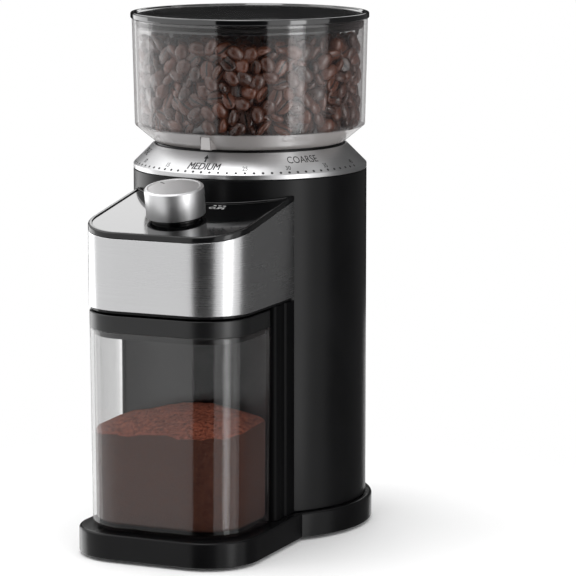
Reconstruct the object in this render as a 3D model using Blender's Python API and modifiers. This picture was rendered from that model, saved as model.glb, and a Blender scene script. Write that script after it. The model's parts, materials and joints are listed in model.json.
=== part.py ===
"""Conical burr coffee grinder with a bean hopper, a selector head and a sliding grounds bin.

The burr axis is upright. Heights are measured from the floor, and plan positions from the
burr axis: -Y is the front. An empty on the burr axis then sets the whole machine so that
its footprint is centred on the origin. All lengths are metres.
"""
import math

import bmesh
import bpy
from mathutils import Matrix

MM = 0.001

# Overall sizes
COLUMN_R = 70.0 * MM
COLUMN_TOP = 214.4 * MM
HEAD_REACH = 66.4 * MM
HEAD_HALF_W = 50.5 * MM
HOPPER_WALL_H = 63.3 * MM

# Clearances
GAP = 0.3 * MM
RUN_GAP = 0.5 * MM

# Base and feet
FOOT_PROUD = 1.5 * MM
FOOT_R = 7.0 * MM
FOOT_H = 3.5 * MM
FOOT_INSET = 17.0 * MM
BASE_T = 14.8 * MM
BASE_WALL = 3.0 * MM
BASE_LEDGE = 3.8 * MM
BASE_SIDE = 5.1 * MM
BASE_NOSE = 7.0 * MM
BASE_CORNER = 31.6 * MM
BASE_VENT_R = 20.0 * MM
COVER_T = 3.0 * MM
COVER_RISE = 0.3 * MM
VENT_SLOT_W = 3.0 * MM
VENT_SLOT_L = 34.0 * MM
VENT_PITCH = 8.0 * MM
VENT_SLOTS = 5
BOSS_R = 4.5 * MM
COVER_SCREW_INSET = 12.0 * MM
COVER_SCREW_SET = 20.0 * MM

# Column, deck and scale ring
COLUMN_WALL = 2.5 * MM
DECK_T = 3.0 * MM
SCALE_LIP = 2.7 * MM
SCALE_CONE = 11.8 * MM
SCALE_WALL = 2.6 * MM
SPINE_STAND = 5.4 * MM
SPINE_WALL = 2.2 * MM
SPINE_CORNER = 4.0 * MM
GROOVE_DEPTH = 1.2 * MM
GROOVE_W = 7.0 * MM
GROOVE_SET = 7.5 * MM

# Head
HEAD_DROP = 27.6 * MM
HEAD_CORNER = 28.6 * MM
HEAD_SLOPE = math.radians(9.86)
STEEL_H = 41.6 * MM
STEEL_T = 0.8 * MM
HEAD_LIP = 1.5 * MM
HEAD_WALL = 2.2 * MM
HEAD_FLOOR_T = 2.5 * MM
BEZEL_H = 3.6 * MM
BEZEL_W = 2.4 * MM
PANEL_RISE = 2.9 * MM
PANEL_T = 2.3 * MM

# Selector knob
KNOB_SET = 34.4 * MM
KNOB_R = 17.25 * MM
KNOB_LOW = 4.2 * MM
KNOB_H = 14.8 * MM
KNOB_WALL = 2.05 * MM
KNOB_TOP_T = 5.0 * MM
KNOB_BOSS_R = 5.5 * MM
COLLAR_R = 14.5 * MM
COLLAR_H = 3.4 * MM
SELECTOR_R = 3.0 * MM
SWITCH_W = 24.0 * MM
SWITCH_H = 13.0 * MM

# Grinding chamber and burrs
CHAMBER_R = 36.0 * MM
CHAMBER_WALL = 3.0 * MM
CHAMBER_H = 46.8 * MM
SHELF_DROP = 13.1 * MM
SLEEVE_R = 49.5 * MM
SLEEVE_WALL = 3.5 * MM
EXIT_HALF_W = 13.0 * MM
EXIT_H = 14.0 * MM
IMPELLER_R = 31.5 * MM
IMPELLER_DISC = 2.2 * MM
IMPELLER_H = 8.2 * MM
CONE_R = 18.9 * MM
CONE_TOP_R = 8.0 * MM
CONE_H = 26.0 * MM
CONE_FLUTES = 6
RING_BURR_R = 25.0 * MM
RING_BURR_H = 17.5 * MM
RING_BURR_BORE = 20.6 * MM
RING_BURR_TEETH = 24
RING_BURR_RISE = 2.5 * MM
CARRIER_LIP = 2.2 * MM
CARRIER_FLANGE_R = 45.0 * MM
NUT_R = 6.0 * MM
NUT_H = 5.0 * MM
SHAFT_R = 4.0 * MM
CHUTE_WALL = 2.0 * MM
CHUTE_FALL = 3.0 * MM
SPOUT_HALF = 13.0 * MM

# Adjuster and hopper
ADJUST_SLEEVE_R = 41.0 * MM
ADJUST_WALL = 2.6 * MM
ADJUST_DROP = 9.4 * MM
NECK_RISE = 1.6 * MM
NECK_SET = 1.2 * MM
NECK_FLAT = 1.8 * MM
HOPPER_FLARE = 12.0 * MM
HOPPER_CONE_H = 9.8 * MM
FUNNEL_DROP = 14.05 * MM
THROAT_GAP = 0.4 * MM
FUNNEL_WALL = 1.85 * MM
HOPPER_DRAFT = 1.5 * MM
HOPPER_WALL = 2.2 * MM
LID_RIM = 0.8 * MM
LID_H = 3.4 * MM
LID_PLATE_T = 2.2 * MM
LID_RECESS = 1.0 * MM
LID_RIM_W = 2.4 * MM
LID_SKIRT_H = 6.0 * MM
GASKET_H = 2.2 * MM
GASKET_T = 1.4 * MM

# Grounds bin
BIN_GAP = 1.2 * MM
BIN_SIDE = 0.5 * MM
BIN_FRONT_SET = 0.4 * MM
BIN_REAR_GAP = 1.9 * MM
BIN_CORNER = 28.0 * MM
BIN_REAR_CORNER = 6.0 * MM
BIN_WALL = 2.2 * MM
BIN_FLOOR = 3.0 * MM
BIN_DRAFT = 1.0 * MM
BIN_LID_H = 9.8 * MM
BIN_LID_T = 2.5 * MM
BIN_PLUG = 4.0 * MM

# Gear train and motor
GEAR_MODULE = 1.5 * MM
PRESSURE = math.radians(25)
ADDENDUM = 0.9
DEDENDUM = 1.15
BACKLASH = 0.12 * MM
PINION_TEETH = 10
IDLER_BIG_TEETH = 30
IDLER_SMALL_TEETH = 10
FINAL_TEETH = 34
FLANK_STEPS = 1
MOTOR_Y = 20.0 * MM
GEARBOX_R = 60.0 * MM
GEARBOX_WALL = 2.5 * MM
GEARBOX_FLOOR = 3.0 * MM
GEARBOX_H = 34.0 * MM
GEARBOX_COVER = 2.7 * MM
LOW_GEAR_H = 8.2 * MM
GEAR_LEVEL_GAP = 3.0 * MM
IDLER_PIN_R = 3.0 * MM
BEARING_R = 8.0 * MM
BEARING_H = 4.9 * MM
MOTOR_R = 31.0 * MM
MOTOR_LENGTH = 101.0 * MM
MOTOR_WALL = 1.8 * MM
MOTOR_CAP_T = 3.0 * MM
MOTOR_SHAFT_R = 2.5 * MM
ARMATURE_R = 20.0 * MM
ARMATURE_END = 22.0 * MM
MAGNET_R = 24.0 * MM
CRADLE_WALL = 2.6 * MM
CRADLE_LIP = 12.0 * MM
DAMPER_H = 3.0 * MM

# Electrics
BOARD_X = 50.0 * MM
BOARD_T = 1.6 * MM
BOARD_HALF_W = 18.0 * MM
BOARD_H = 80.0 * MM
INLET_Z = 30.0 * MM
INLET_R = 5.0 * MM

# Screws
SCREW_R = 1.5 * MM
SCREW_HEAD_R = 2.9 * MM
SCREW_HEAD_H = 1.8 * MM
SCREW_LENGTH = 9.0 * MM

# Facets
ROUND_BIG = 40
ROUND_MID = 24
ROUND_SMALL = 12
CORNER_STEPS = 6

# Places worked out from the sizes above
HEAD_FRONT = COLUMN_R + HEAD_REACH
BASE_FRONT = HEAD_FRONT + BASE_NOSE
BASE_REAR_R = COLUMN_R + BASE_LEDGE
BASE_HALF_W = HEAD_HALF_W + BASE_SIDE
BASE_TOP = FOOT_PROUD + BASE_T
AXIS_Y = (BASE_FRONT - BASE_REAR_R) / 2
STEEL_TOP = COLUMN_TOP - HEAD_DROP
STEEL_LOW = STEEL_TOP - STEEL_H
HEAD_FLOOR = STEEL_LOW - HEAD_LIP
SPINE_FRONT = COLUMN_R + SPINE_STAND
SCALE_LOW = COLUMN_TOP + GAP
SCALE_TOP = SCALE_LOW + SCALE_LIP + SCALE_CONE
SCALE_TOP_R = COLUMN_R - SCALE_CONE
SCALE_BORE = SCALE_TOP_R - NECK_SET
NECK_R = SCALE_BORE
NECK_Z = SCALE_TOP + NECK_RISE
CONE_SLOPE = HOPPER_CONE_H / HOPPER_FLARE
THROAT_R = ADJUST_SLEEVE_R - ADJUST_WALL - THROAT_GAP
FUNNEL_SLOPE = FUNNEL_DROP / (NECK_R - NECK_FLAT - THROAT_R)
DECK_LOW = COLUMN_TOP - DECK_T
CHAMBER_TOP = DECK_LOW - GAP
CHAMBER_LOW = CHAMBER_TOP - CHAMBER_H
CHAMBER_FLOOR = CHAMBER_LOW + CHAMBER_WALL
SHELF_TOP = CHAMBER_TOP - SHELF_DROP
EXIT_LOW = CHAMBER_FLOOR + 0.7 * MM
IMPELLER_LOW = CHAMBER_FLOOR + RUN_GAP
CONE_LOW = IMPELLER_LOW + IMPELLER_H + GAP
CONE_TOP = CONE_LOW + CONE_H
RING_BURR_LOW = CONE_LOW + RING_BURR_RISE
GEARBOX_TOP = CHAMBER_LOW - GAP
GEARBOX_LOW = GEARBOX_TOP - GEARBOX_COVER - GAP - GEARBOX_H
LOW_GEAR_Z = GEARBOX_LOW + GEARBOX_FLOOR + 2.0 * MM
HIGH_GEAR_Z = LOW_GEAR_Z + LOW_GEAR_H + GEAR_LEVEL_GAP
HIGH_GEAR_TOP = GEARBOX_TOP - GEARBOX_COVER - 4.6 * MM
MOTOR_TOP = GEARBOX_LOW - GAP
MOTOR_LOW = MOTOR_TOP - MOTOR_LENGTH
LOW_CENTRES = (PINION_TEETH + IDLER_BIG_TEETH) * GEAR_MODULE / 2
HIGH_CENTRES = (IDLER_SMALL_TEETH + FINAL_TEETH) * GEAR_MODULE / 2
IDLER_Y = (HIGH_CENTRES**2 - LOW_CENTRES**2 + MOTOR_Y**2) / (2 * MOTOR_Y)
IDLER_X = math.sqrt(HIGH_CENTRES**2 - IDLER_Y**2)
BIN_LOW = BASE_TOP + GAP
BIN_LID_TOP = HEAD_FLOOR - BIN_GAP
BIN_TOP = BIN_LID_TOP - BIN_LID_H - GAP
BIN_HALF_W = HEAD_HALF_W - BIN_SIDE
BIN_FRONT = HEAD_FRONT - BIN_FRONT_SET
BIN_REAR = SPINE_FRONT + BIN_REAR_GAP
SPOUT_Y = (BIN_FRONT + BIN_REAR) / 2


def collection(name: str) -> bpy.types.Collection:
    """Return a new collection linked to the scene."""
    made = bpy.data.collections.new(name)
    bpy.context.scene.collection.children.link(made)
    return made


for leftover in list(bpy.data.objects):
    bpy.data.objects.remove(leftover, do_unlink=True)
PARTS = collection("burr_coffee_grinder")
CUTTERS = collection("cutters")

# Finishes: linear colour, roughness, metallic, alpha
FINISHES = {
    "satin_black": ((0.012, 0.012, 0.013), 0.45, 0.0, 1.0),
    "gloss_black": ((0.006, 0.006, 0.007), 0.12, 0.0, 1.0),
    "steel": ((0.56, 0.56, 0.57), 0.30, 1.0, 1.0),
    "dark_steel": ((0.20, 0.20, 0.21), 0.35, 1.0, 1.0),
    "aluminium": ((0.62, 0.62, 0.63), 0.35, 1.0, 1.0),
    "smoke": ((0.20, 0.18, 0.18), 0.08, 0.0, 0.35),
    "rubber": ((0.010, 0.010, 0.010), 0.85, 0.0, 1.0),
    "grey_plastic": ((0.10, 0.10, 0.11), 0.55, 0.0, 1.0),
    "white_plastic": ((0.62, 0.61, 0.57), 0.50, 0.0, 1.0),
    "brass": ((0.60, 0.42, 0.16), 0.35, 1.0, 1.0),
    "magnet": ((0.035, 0.035, 0.038), 0.60, 0.0, 1.0),
    "board_green": ((0.01, 0.09, 0.04), 0.45, 0.0, 1.0),
}


def dress(obj: bpy.types.Object, finish: str) -> None:
    """Give a piece its own Principled material in the named finish."""
    colour, rough, metal, alpha = FINISHES[finish]
    made = bpy.data.materials.new(f"{obj.name}_{finish}")
    made.use_nodes = True
    shader = made.node_tree.nodes["Principled BSDF"]
    shader.inputs["Base Color"].default_value = (*colour, 1.0)
    shader.inputs["Roughness"].default_value = rough
    shader.inputs["Metallic"].default_value = metal
    shader.inputs["Alpha"].default_value = alpha
    obj.data.materials.append(made)


def empty(name: str, place: tuple, parent=None, turn=(0.0, 0.0, 0.0)) -> bpy.types.Object:
    """Return an empty that carries a group of pieces."""
    made = bpy.data.objects.new(name, None)
    made.location = place
    made.rotation_euler = turn
    made.parent = parent
    PARTS.objects.link(made)
    return made


def place_mesh(name: str, mesh: bpy.types.Mesh, parent, finish: str | None) -> bpy.types.Object:
    """Link a mesh as a part, or as a hidden cutter where it has no finish."""
    made = bpy.data.objects.new(name, mesh)
    made.parent = parent
    if finish is None:
        CUTTERS.objects.link(made)
        made.hide_render = True
        made.display_type = "WIRE"
    else:
        PARTS.objects.link(made)
        dress(made, finish)
    return made


def soften(obj: bpy.types.Object) -> bpy.types.Object:
    """Shade a round piece smooth, keeping its edges crisp."""
    obj.data.shade_smooth()
    obj.data.set_sharp_from_angle(angle=math.radians(35))
    return obj


def plate(name: str, loops: list, low: float, high: float, parent, finish: str | None):
    """A flat piece between two heights: the first outline is outside, the others are holes."""
    curve = bpy.data.curves.new(name, "CURVE")
    curve.dimensions = "2D"
    curve.fill_mode = "BOTH"
    curve.extrude = (high - low) / 2
    for loop in loops:
        spline = curve.splines.new("POLY")
        spline.points.add(len(loop) - 1)
        spline.points.foreach_set("co", [value for x, y in loop for value in (x, y, 0.0, 1.0)])
        spline.use_cyclic_u = True
    drawn = bpy.data.objects.new(f"{name}_outline", curve)
    PARTS.objects.link(drawn)
    graph = bpy.context.evaluated_depsgraph_get()
    mesh = bpy.data.meshes.new_from_object(drawn.evaluated_get(graph))
    bpy.data.objects.remove(drawn, do_unlink=True)
    shape = bmesh.new()
    shape.from_mesh(mesh)
    bmesh.ops.remove_doubles(shape, verts=shape.verts, dist=1e-6)
    bmesh.ops.translate(shape, verts=shape.verts, vec=(0.0, 0.0, (low + high) / 2))
    bmesh.ops.recalc_face_normals(shape, faces=shape.faces)
    shape.to_mesh(mesh)
    shape.free()
    return place_mesh(name, mesh, parent, finish)


def turned(name: str, profile: list, segments: int, parent, finish: str | None, ring=True):
    """A turned piece: a profile of (radius, height), outer side first and downwards."""
    mesh = bpy.data.meshes.new(name)
    edges = [(i, i + 1) for i in range(len(profile) - 1)]
    if ring:
        edges.append((len(profile) - 1, 0))
    mesh.from_pydata([(radius, 0.0, height) for radius, height in profile], edges, [])
    made = place_mesh(name, mesh, parent, finish)
    screw = made.modifiers.new("turn", "SCREW")
    screw.steps = segments
    screw.render_steps = segments
    screw.use_merge_vertices = True
    screw.merge_threshold = 0.00001
    screw.use_smooth_shade = True
    return made


def tube(name: str, outer: float, inner: float, low: float, high: float, segments: int, parent, finish):
    """A plain turned ring."""
    profile = [(outer, high), (outer, low), (inner, low), (inner, high)]
    return turned(name, profile, segments, parent, finish)


def rod(name: str, radius: float, low: float, high: float, parent, finish=None, segments=ROUND_SMALL,
        x=0.0, y=0.0):
    """An upright solid cylinder."""
    shape = bmesh.new()
    middle = Matrix.Translation((x, y, (low + high) / 2))
    bmesh.ops.create_cone(shape, cap_ends=True, segments=segments, radius1=radius, radius2=radius,
                          depth=high - low, matrix=middle)
    mesh = bpy.data.meshes.new(name)
    shape.to_mesh(mesh)
    shape.free()
    return place_mesh(name, mesh, parent, finish)


def box(name: str, low: tuple, high: tuple, parent, finish=None):
    """A box between two corners."""
    shape = bmesh.new()
    middle = [(a + b) / 2 for a, b in zip(low, high)]
    size = [b - a for a, b in zip(low, high)]
    bmesh.ops.create_cube(shape, size=1.0, matrix=Matrix.LocRotScale(middle, None, size))
    mesh = bpy.data.meshes.new(name)
    shape.to_mesh(mesh)
    shape.free()
    return place_mesh(name, mesh, parent, finish)


def boolean(target, tool, operation: str) -> None:
    """Cut a tool out of a piece, or join it on."""
    step = target.modifiers.new(f"{operation.lower()}_{tool.name}", "BOOLEAN")
    step.operation = operation
    step.solver = "EXACT"
    step.object = tool


def cut(target, *tools) -> None:
    """Cut each tool out of a piece."""
    for tool in tools:
        boolean(target, tool, "DIFFERENCE")


def join(target, *tools) -> None:
    """Join each tool to a piece as one body."""
    for tool in tools:
        boolean(target, tool, "UNION")


def arc(x: float, y: float, radius: float, start: float, end: float, steps: int) -> list:
    """Points along an arc, both ends included; angles in degrees."""
    turns = [math.radians(start + (end - start) * i / steps) for i in range(steps + 1)]
    return [(x + radius * math.cos(a), y + radius * math.sin(a)) for a in turns]


def circle(x: float, y: float, radius: float, segments: int) -> list:
    """Points round a circle."""
    return arc(x, y, radius, 0, 360 * (segments - 1) / segments, segments - 1)


def nose(half_w: float, front: float, corner: float) -> list:
    """The front of a plan outline, left to right: two sides' ends and two round corners."""
    left = arc(-half_w + corner, -front + corner, corner, 180, 270, CORNER_STEPS)
    right = arc(half_w - corner, -front + corner, corner, 270, 360, CORNER_STEPS)
    return left + right


def keyhole(inset: float) -> list:
    """The base outline: a round rear joined to a round-cornered nose, moved in by inset."""
    radius = BASE_REAR_R - inset
    half_w = BASE_HALF_W - inset
    meet = math.degrees(math.asin(half_w / radius))
    rear = arc(0, 0, radius, -90 + meet, 270 - meet, ROUND_BIG * 3 // 4)
    return rear + nose(half_w, BASE_FRONT - inset, BASE_CORNER - inset)


def saddle(inset: float, rear_r: float) -> list:
    """The head outline: the nose, and a hollow rear that follows the column at rear_r."""
    half_w = HEAD_HALF_W - inset
    meet = math.degrees(math.asin(half_w / rear_r))
    rear = arc(0, 0, rear_r, -90 + meet, -90 - meet, ROUND_BIG // 4)
    return nose(half_w, HEAD_FRONT - inset, HEAD_CORNER - inset) + rear


def bin_outline(inset: float) -> list:
    """The bin outline: large front corners, small rear ones."""
    half_w = BIN_HALF_W - inset
    rear = -BIN_REAR - inset
    corner = max(BIN_REAR_CORNER - inset, 1.0 * MM)
    back = arc(half_w - corner, rear - corner, corner, 0, 90, CORNER_STEPS - 3)
    back += arc(-half_w + corner, rear - corner, corner, 90, 180, CORNER_STEPS - 3)
    return back + nose(half_w, BIN_FRONT - inset, BIN_CORNER - inset)


def lean(obj, above: float) -> None:
    """Tilt everything above a height to the head's slope, keeping upright walls upright."""
    for vertex in obj.data.vertices:
        if vertex.co.z > above:
            vertex.co.z += (HEAD_FRONT + vertex.co.y) * math.tan(HEAD_SLOPE)


def taper(obj, low: float, high: float, amount: float) -> None:
    """Draw a piece in towards its foot, for a moulded draft."""
    for vertex in obj.data.vertices:
        share = (high - vertex.co.z) / (high - low)
        vertex.co.x -= math.copysign(amount * share, vertex.co.x)


def gear_outline(teeth: int, tooth_angle: float) -> list:
    """An involute gear outline with one tooth centred at tooth_angle (radians)."""
    pitch_r = teeth * GEAR_MODULE / 2
    base_r = pitch_r * math.cos(PRESSURE)
    tip_r = pitch_r + ADDENDUM * GEAR_MODULE
    root_r = pitch_r - DEDENDUM * GEAR_MODULE
    start_r = max(base_r, root_r)
    half_tooth = math.pi / (2 * teeth) - BACKLASH / (2 * pitch_r)
    flank = []
    for step in range(FLANK_STEPS + 1):
        radius = start_r + (tip_r - start_r) * step / FLANK_STEPS
        roll = math.acos(base_r / radius)
        spread = math.tan(PRESSURE) - PRESSURE - math.tan(roll) + roll
        flank.append((radius, half_tooth + spread))
    if root_r < base_r:
        flank.insert(0, (root_r, flank[0][1]))
    points = []
    for tooth in range(teeth):
        centre = tooth_angle + tooth * 2 * math.pi / teeth
        sides = [(radius, centre - half) for radius, half in flank]
        sides += [(radius, centre + half) for radius, half in reversed(flank)]
        points += [(radius * math.cos(a), radius * math.sin(a)) for radius, a in sides]
    return points


def screw_piece(name: str, head_top: float, parent, x: float, y: float, up=True, head_r=SCREW_HEAD_R,
                shank_r=SCREW_R, length=SCREW_LENGTH):
    """A pan-head screw; up is the way its head faces."""
    profile = [(0.0, 0.0), (head_r, 0.0), (head_r, -SCREW_HEAD_H), (shank_r, -SCREW_HEAD_H),
               (shank_r, -SCREW_HEAD_H - length), (0.0, -SCREW_HEAD_H - length)]
    made = turned(name, profile, ROUND_SMALL, parent, "dark_steel", ring=False)
    made.location = (x, y, head_top)
    if not up:
        made.rotation_euler = (math.pi, 0.0, 0.0)
    return made


def foot_places() -> list:
    """Where the four feet stand, with their names."""
    front = -BASE_FRONT + FOOT_INSET * 1.3
    side = BASE_HALF_W - FOOT_INSET
    rear = (BASE_REAR_R - FOOT_INSET) * math.sqrt(0.5)
    return [("front_left", -side, front), ("front_right", side, front),
            ("rear_left", -rear, rear), ("rear_right", rear, rear)]


def cover_screw_places() -> list:
    """Where the four screws hold the bottom cover, with their names."""
    front = -BASE_FRONT + BASE_CORNER + COVER_SCREW_SET
    side = BASE_HALF_W - COVER_SCREW_INSET
    rear = BASE_REAR_R - COVER_SCREW_INSET
    return [("front_left", -side, front), ("front_right", side, front),
            ("rear_left", -rear, 0.0), ("rear_right", rear, 0.0)]


def make_base(axis) -> None:
    """The weighted foot of the machine: tray, bottom cover, feet and screws."""
    base = plate("base_plate", [keyhole(0.0)], FOOT_PROUD, BASE_TOP, axis, "satin_black")
    under = plate("base_hollow", [keyhole(BASE_WALL)], 0.0, BASE_TOP - BASE_WALL, axis, None)
    cut(base, under)
    cut(base, rod("air_way", BASE_VENT_R, 0.0, BASE_TOP + BASE_T, axis, None, ROUND_MID, y=MOTOR_Y))
    rib_low = BASE_TOP - BASE_WALL / 2
    rib = box("board_rib", (-BOARD_X - 2.6 * MM, -BOARD_HALF_W, rib_low),
              (-BOARD_X + 2.6 * MM, BOARD_HALF_W, BASE_TOP + 8.0 * MM), axis)
    slot_half = BOARD_T / 2 + GAP
    slot = box("board_slot", (-BOARD_X - slot_half, -BOARD_HALF_W - MM, BASE_TOP + MM),
               (-BOARD_X + slot_half, BOARD_HALF_W + MM, BASE_TOP + BASE_T), axis)
    join(base, rib)
    cut(base, slot)
    cover_low = FOOT_PROUD + COVER_RISE
    cover_top = cover_low + COVER_T
    slots = []
    for index in range(VENT_SLOTS):
        y = MOTOR_Y + (index - (VENT_SLOTS - 1) / 2) * VENT_PITCH
        half_l = VENT_SLOT_L / 2
        slots.append([(-half_l, y - VENT_SLOT_W / 2), (half_l, y - VENT_SLOT_W / 2),
                      (half_l, y + VENT_SLOT_W / 2), (-half_l, y + VENT_SLOT_W / 2)])
    cover = plate("bottom_cover", [keyhole(BASE_WALL + GAP)] + slots, cover_low, cover_top, axis,
                  "grey_plastic")
    for name, x, y in foot_places():
        pocket = rod(f"pocket_{name}", FOOT_R + GAP, 0.0, FOOT_H + GAP, axis, None, ROUND_SMALL + 4, x, y)
        cut(cover, pocket)
        soften(rod(f"foot_{name}", FOOT_R, 0.0, FOOT_H, axis, "rubber", ROUND_SMALL + 4, x, y))
    for name, x, y in cover_screw_places():
        boss = rod(f"boss_{name}", BOSS_R, cover_top + GAP, BASE_TOP - BASE_WALL / 2, axis, None,
                   ROUND_SMALL, x, y)
        tap = rod(f"tap_{name}", SCREW_R + GAP, 0.0, BASE_TOP - BASE_WALL - MM, axis, None,
                  ROUND_SMALL, x, y)
        sink = rod(f"sink_{name}", SCREW_HEAD_R + GAP, 0.0, cover_low + SCREW_HEAD_H, axis, None,
                   ROUND_SMALL, x, y)
        join(base, boss)
        cut(base, tap)
        cut(cover, tap, sink)
        screw_piece(f"cover_screw_{name}", cover_low - GAP, axis, x, y, up=False,
                    length=SCREW_LENGTH - 3.0 * MM)


def make_column(axis) -> None:
    """The round body, its top deck, the scale ring and the spine behind the bin."""
    column = tube("column_shell", COLUMN_R, COLUMN_R - COLUMN_WALL, BASE_TOP + GAP, COLUMN_TOP,
                  ROUND_BIG, axis, "satin_black")
    window_half = EXIT_HALF_W + CHUTE_WALL + 0.8 * MM
    cut(column, box("chute_window", (-window_half, -COLUMN_R - MM, HEAD_FLOOR + 11.0 * MM),
                    (window_half, -COLUMN_R / 2, HEAD_FLOOR + 37.0 * MM), axis))
    hole = rod("inlet_hole", INLET_R + GAP, 0.0, COLUMN_R, axis, None, ROUND_SMALL)
    hole.rotation_euler = (-math.pi / 2, 0.0, 0.0)
    hole.location = (0.0, COLUMN_R / 2, INLET_Z)
    cut(column, hole)
    inner = COLUMN_R - COLUMN_WALL - GAP
    tube("top_deck", inner, SLEEVE_R - SLEEVE_WALL + RUN_GAP, DECK_LOW, COLUMN_TOP, ROUND_BIG, axis,
         "grey_plastic")
    lip_top = SCALE_LOW + SCALE_LIP
    inside = COLUMN_R - SCALE_WALL
    turned("scale_ring", [(SCALE_TOP_R, SCALE_TOP), (COLUMN_R, lip_top), (COLUMN_R, SCALE_LOW),
                          (inside, SCALE_LOW), (inside, lip_top - MM),
                          (SCALE_BORE, SCALE_TOP - SCALE_WALL), (SCALE_BORE, SCALE_TOP)],
           ROUND_BIG, axis, "aluminium")
    make_spine(axis)
    profile = [(INLET_R - 2.0 * MM, 3.2 * MM), (INLET_R + 2.5 * MM, 3.2 * MM), (INLET_R + 2.5 * MM, GAP),
               (INLET_R, GAP), (INLET_R, -8.0 * MM), (INLET_R - 2.0 * MM, -8.0 * MM)]
    inlet = turned("cord_inlet", profile, ROUND_SMALL + 4, axis, "rubber")
    inlet.location = (0.0, COLUMN_R, INLET_Z)
    inlet.rotation_euler = (-math.pi / 2, 0.0, 0.0)


def make_spine(axis) -> None:
    """The flat-fronted panel between column and bin, with a groove down each side."""
    inner_w = HEAD_HALF_W - SPINE_WALL
    end_out = math.sqrt((COLUMN_R + GAP)**2 - HEAD_HALF_W**2)
    end_in = math.sqrt((COLUMN_R + GAP)**2 - inner_w**2)
    corner = SPINE_CORNER
    groove_y = SPINE_FRONT - GROOVE_SET
    sunk = HEAD_HALF_W - GROOVE_DEPTH
    right = [(HEAD_HALF_W, -groove_y), (sunk, -groove_y + GROOVE_DEPTH),
             (sunk, -groove_y + GROOVE_W), (HEAD_HALF_W, -groove_y + GROOVE_W + GROOVE_DEPTH),
             (HEAD_HALF_W, -end_out), (inner_w, -end_in)]
    inner_corner = corner - SPINE_WALL
    front_in = SPINE_FRONT - SPINE_WALL
    inside = arc(inner_w - inner_corner, -front_in + inner_corner, inner_corner, 0, -90, 3)
    outside = arc(HEAD_HALF_W - corner, -SPINE_FRONT + corner, corner, -90, 0, CORNER_STEPS - 2)
    half = outside + right + inside
    mirrored = [(-x, y) for x, y in reversed(half)]
    plate("spine_panel", [half + mirrored], BASE_TOP + GAP, HEAD_FLOOR - GAP, axis, "satin_black")


def make_head(axis) -> None:
    """The head that overhangs the bin: housing, steel band, bezel and control panel."""
    rear = COLUMN_R + GAP
    skin = STEEL_T + GAP
    middle = (HEAD_FLOOR + STEEL_TOP) / 2
    housing = plate("head_housing", [saddle(skin, rear)], HEAD_FLOOR, STEEL_TOP, axis, "satin_black")
    hollow = plate("head_hollow", [saddle(skin + HEAD_WALL, rear + HEAD_WALL)],
                   HEAD_FLOOR + HEAD_FLOOR_T, STEEL_TOP + BASE_T, axis, None)
    lean(housing, middle)
    cut(housing, hollow)
    duct_half = EXIT_HALF_W + CHUTE_WALL + RUN_GAP
    spout_front = -SPOUT_Y - SPOUT_HALF - CHUTE_WALL - RUN_GAP
    spout_rear = -SPOUT_Y + SPOUT_HALF + CHUTE_WALL + RUN_GAP
    cut(housing, box("duct_way", (-duct_half, -COLUMN_R - BASE_T, HEAD_FLOOR + 10.0 * MM),
                     (duct_half, 0.0, HEAD_FLOOR + 38.0 * MM), axis),
        box("spout_way", (-duct_half, spout_front, HEAD_FLOOR - MM),
            (duct_half, spout_rear, HEAD_FLOOR + HEAD_FLOOR_T + MM), axis))
    outer = nose(HEAD_HALF_W, HEAD_FRONT, HEAD_CORNER)
    end_out = math.sqrt(rear**2 - HEAD_HALF_W**2)
    inner_w = HEAD_HALF_W - STEEL_T
    end_in = math.sqrt(rear**2 - inner_w**2)
    inner = nose(inner_w, HEAD_FRONT - STEEL_T, HEAD_CORNER - STEEL_T)
    outline = [(-HEAD_HALF_W, -end_out)] + outer + [(HEAD_HALF_W, -end_out), (inner_w, -end_in)]
    outline += inner[::-1] + [(-inner_w, -end_in)]
    band = plate("steel_band", [outline], STEEL_LOW, STEEL_TOP, axis, "steel")
    lean(band, middle)
    bezel_low = STEEL_TOP + GAP
    bezel = plate("top_bezel", [saddle(0.0, rear), saddle(BEZEL_W, rear + BEZEL_W)], bezel_low,
                  STEEL_TOP + BEZEL_H, axis, "satin_black")
    lean(bezel, 0.0)
    panel_top = STEEL_TOP + PANEL_RISE
    panel = plate("control_panel", [saddle(BEZEL_W + GAP, rear + BEZEL_W + GAP)],
                  panel_top - PANEL_T, panel_top, axis, "gloss_black")
    lean(panel, 0.0)
    make_controls(axis, panel, panel_top)


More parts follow.
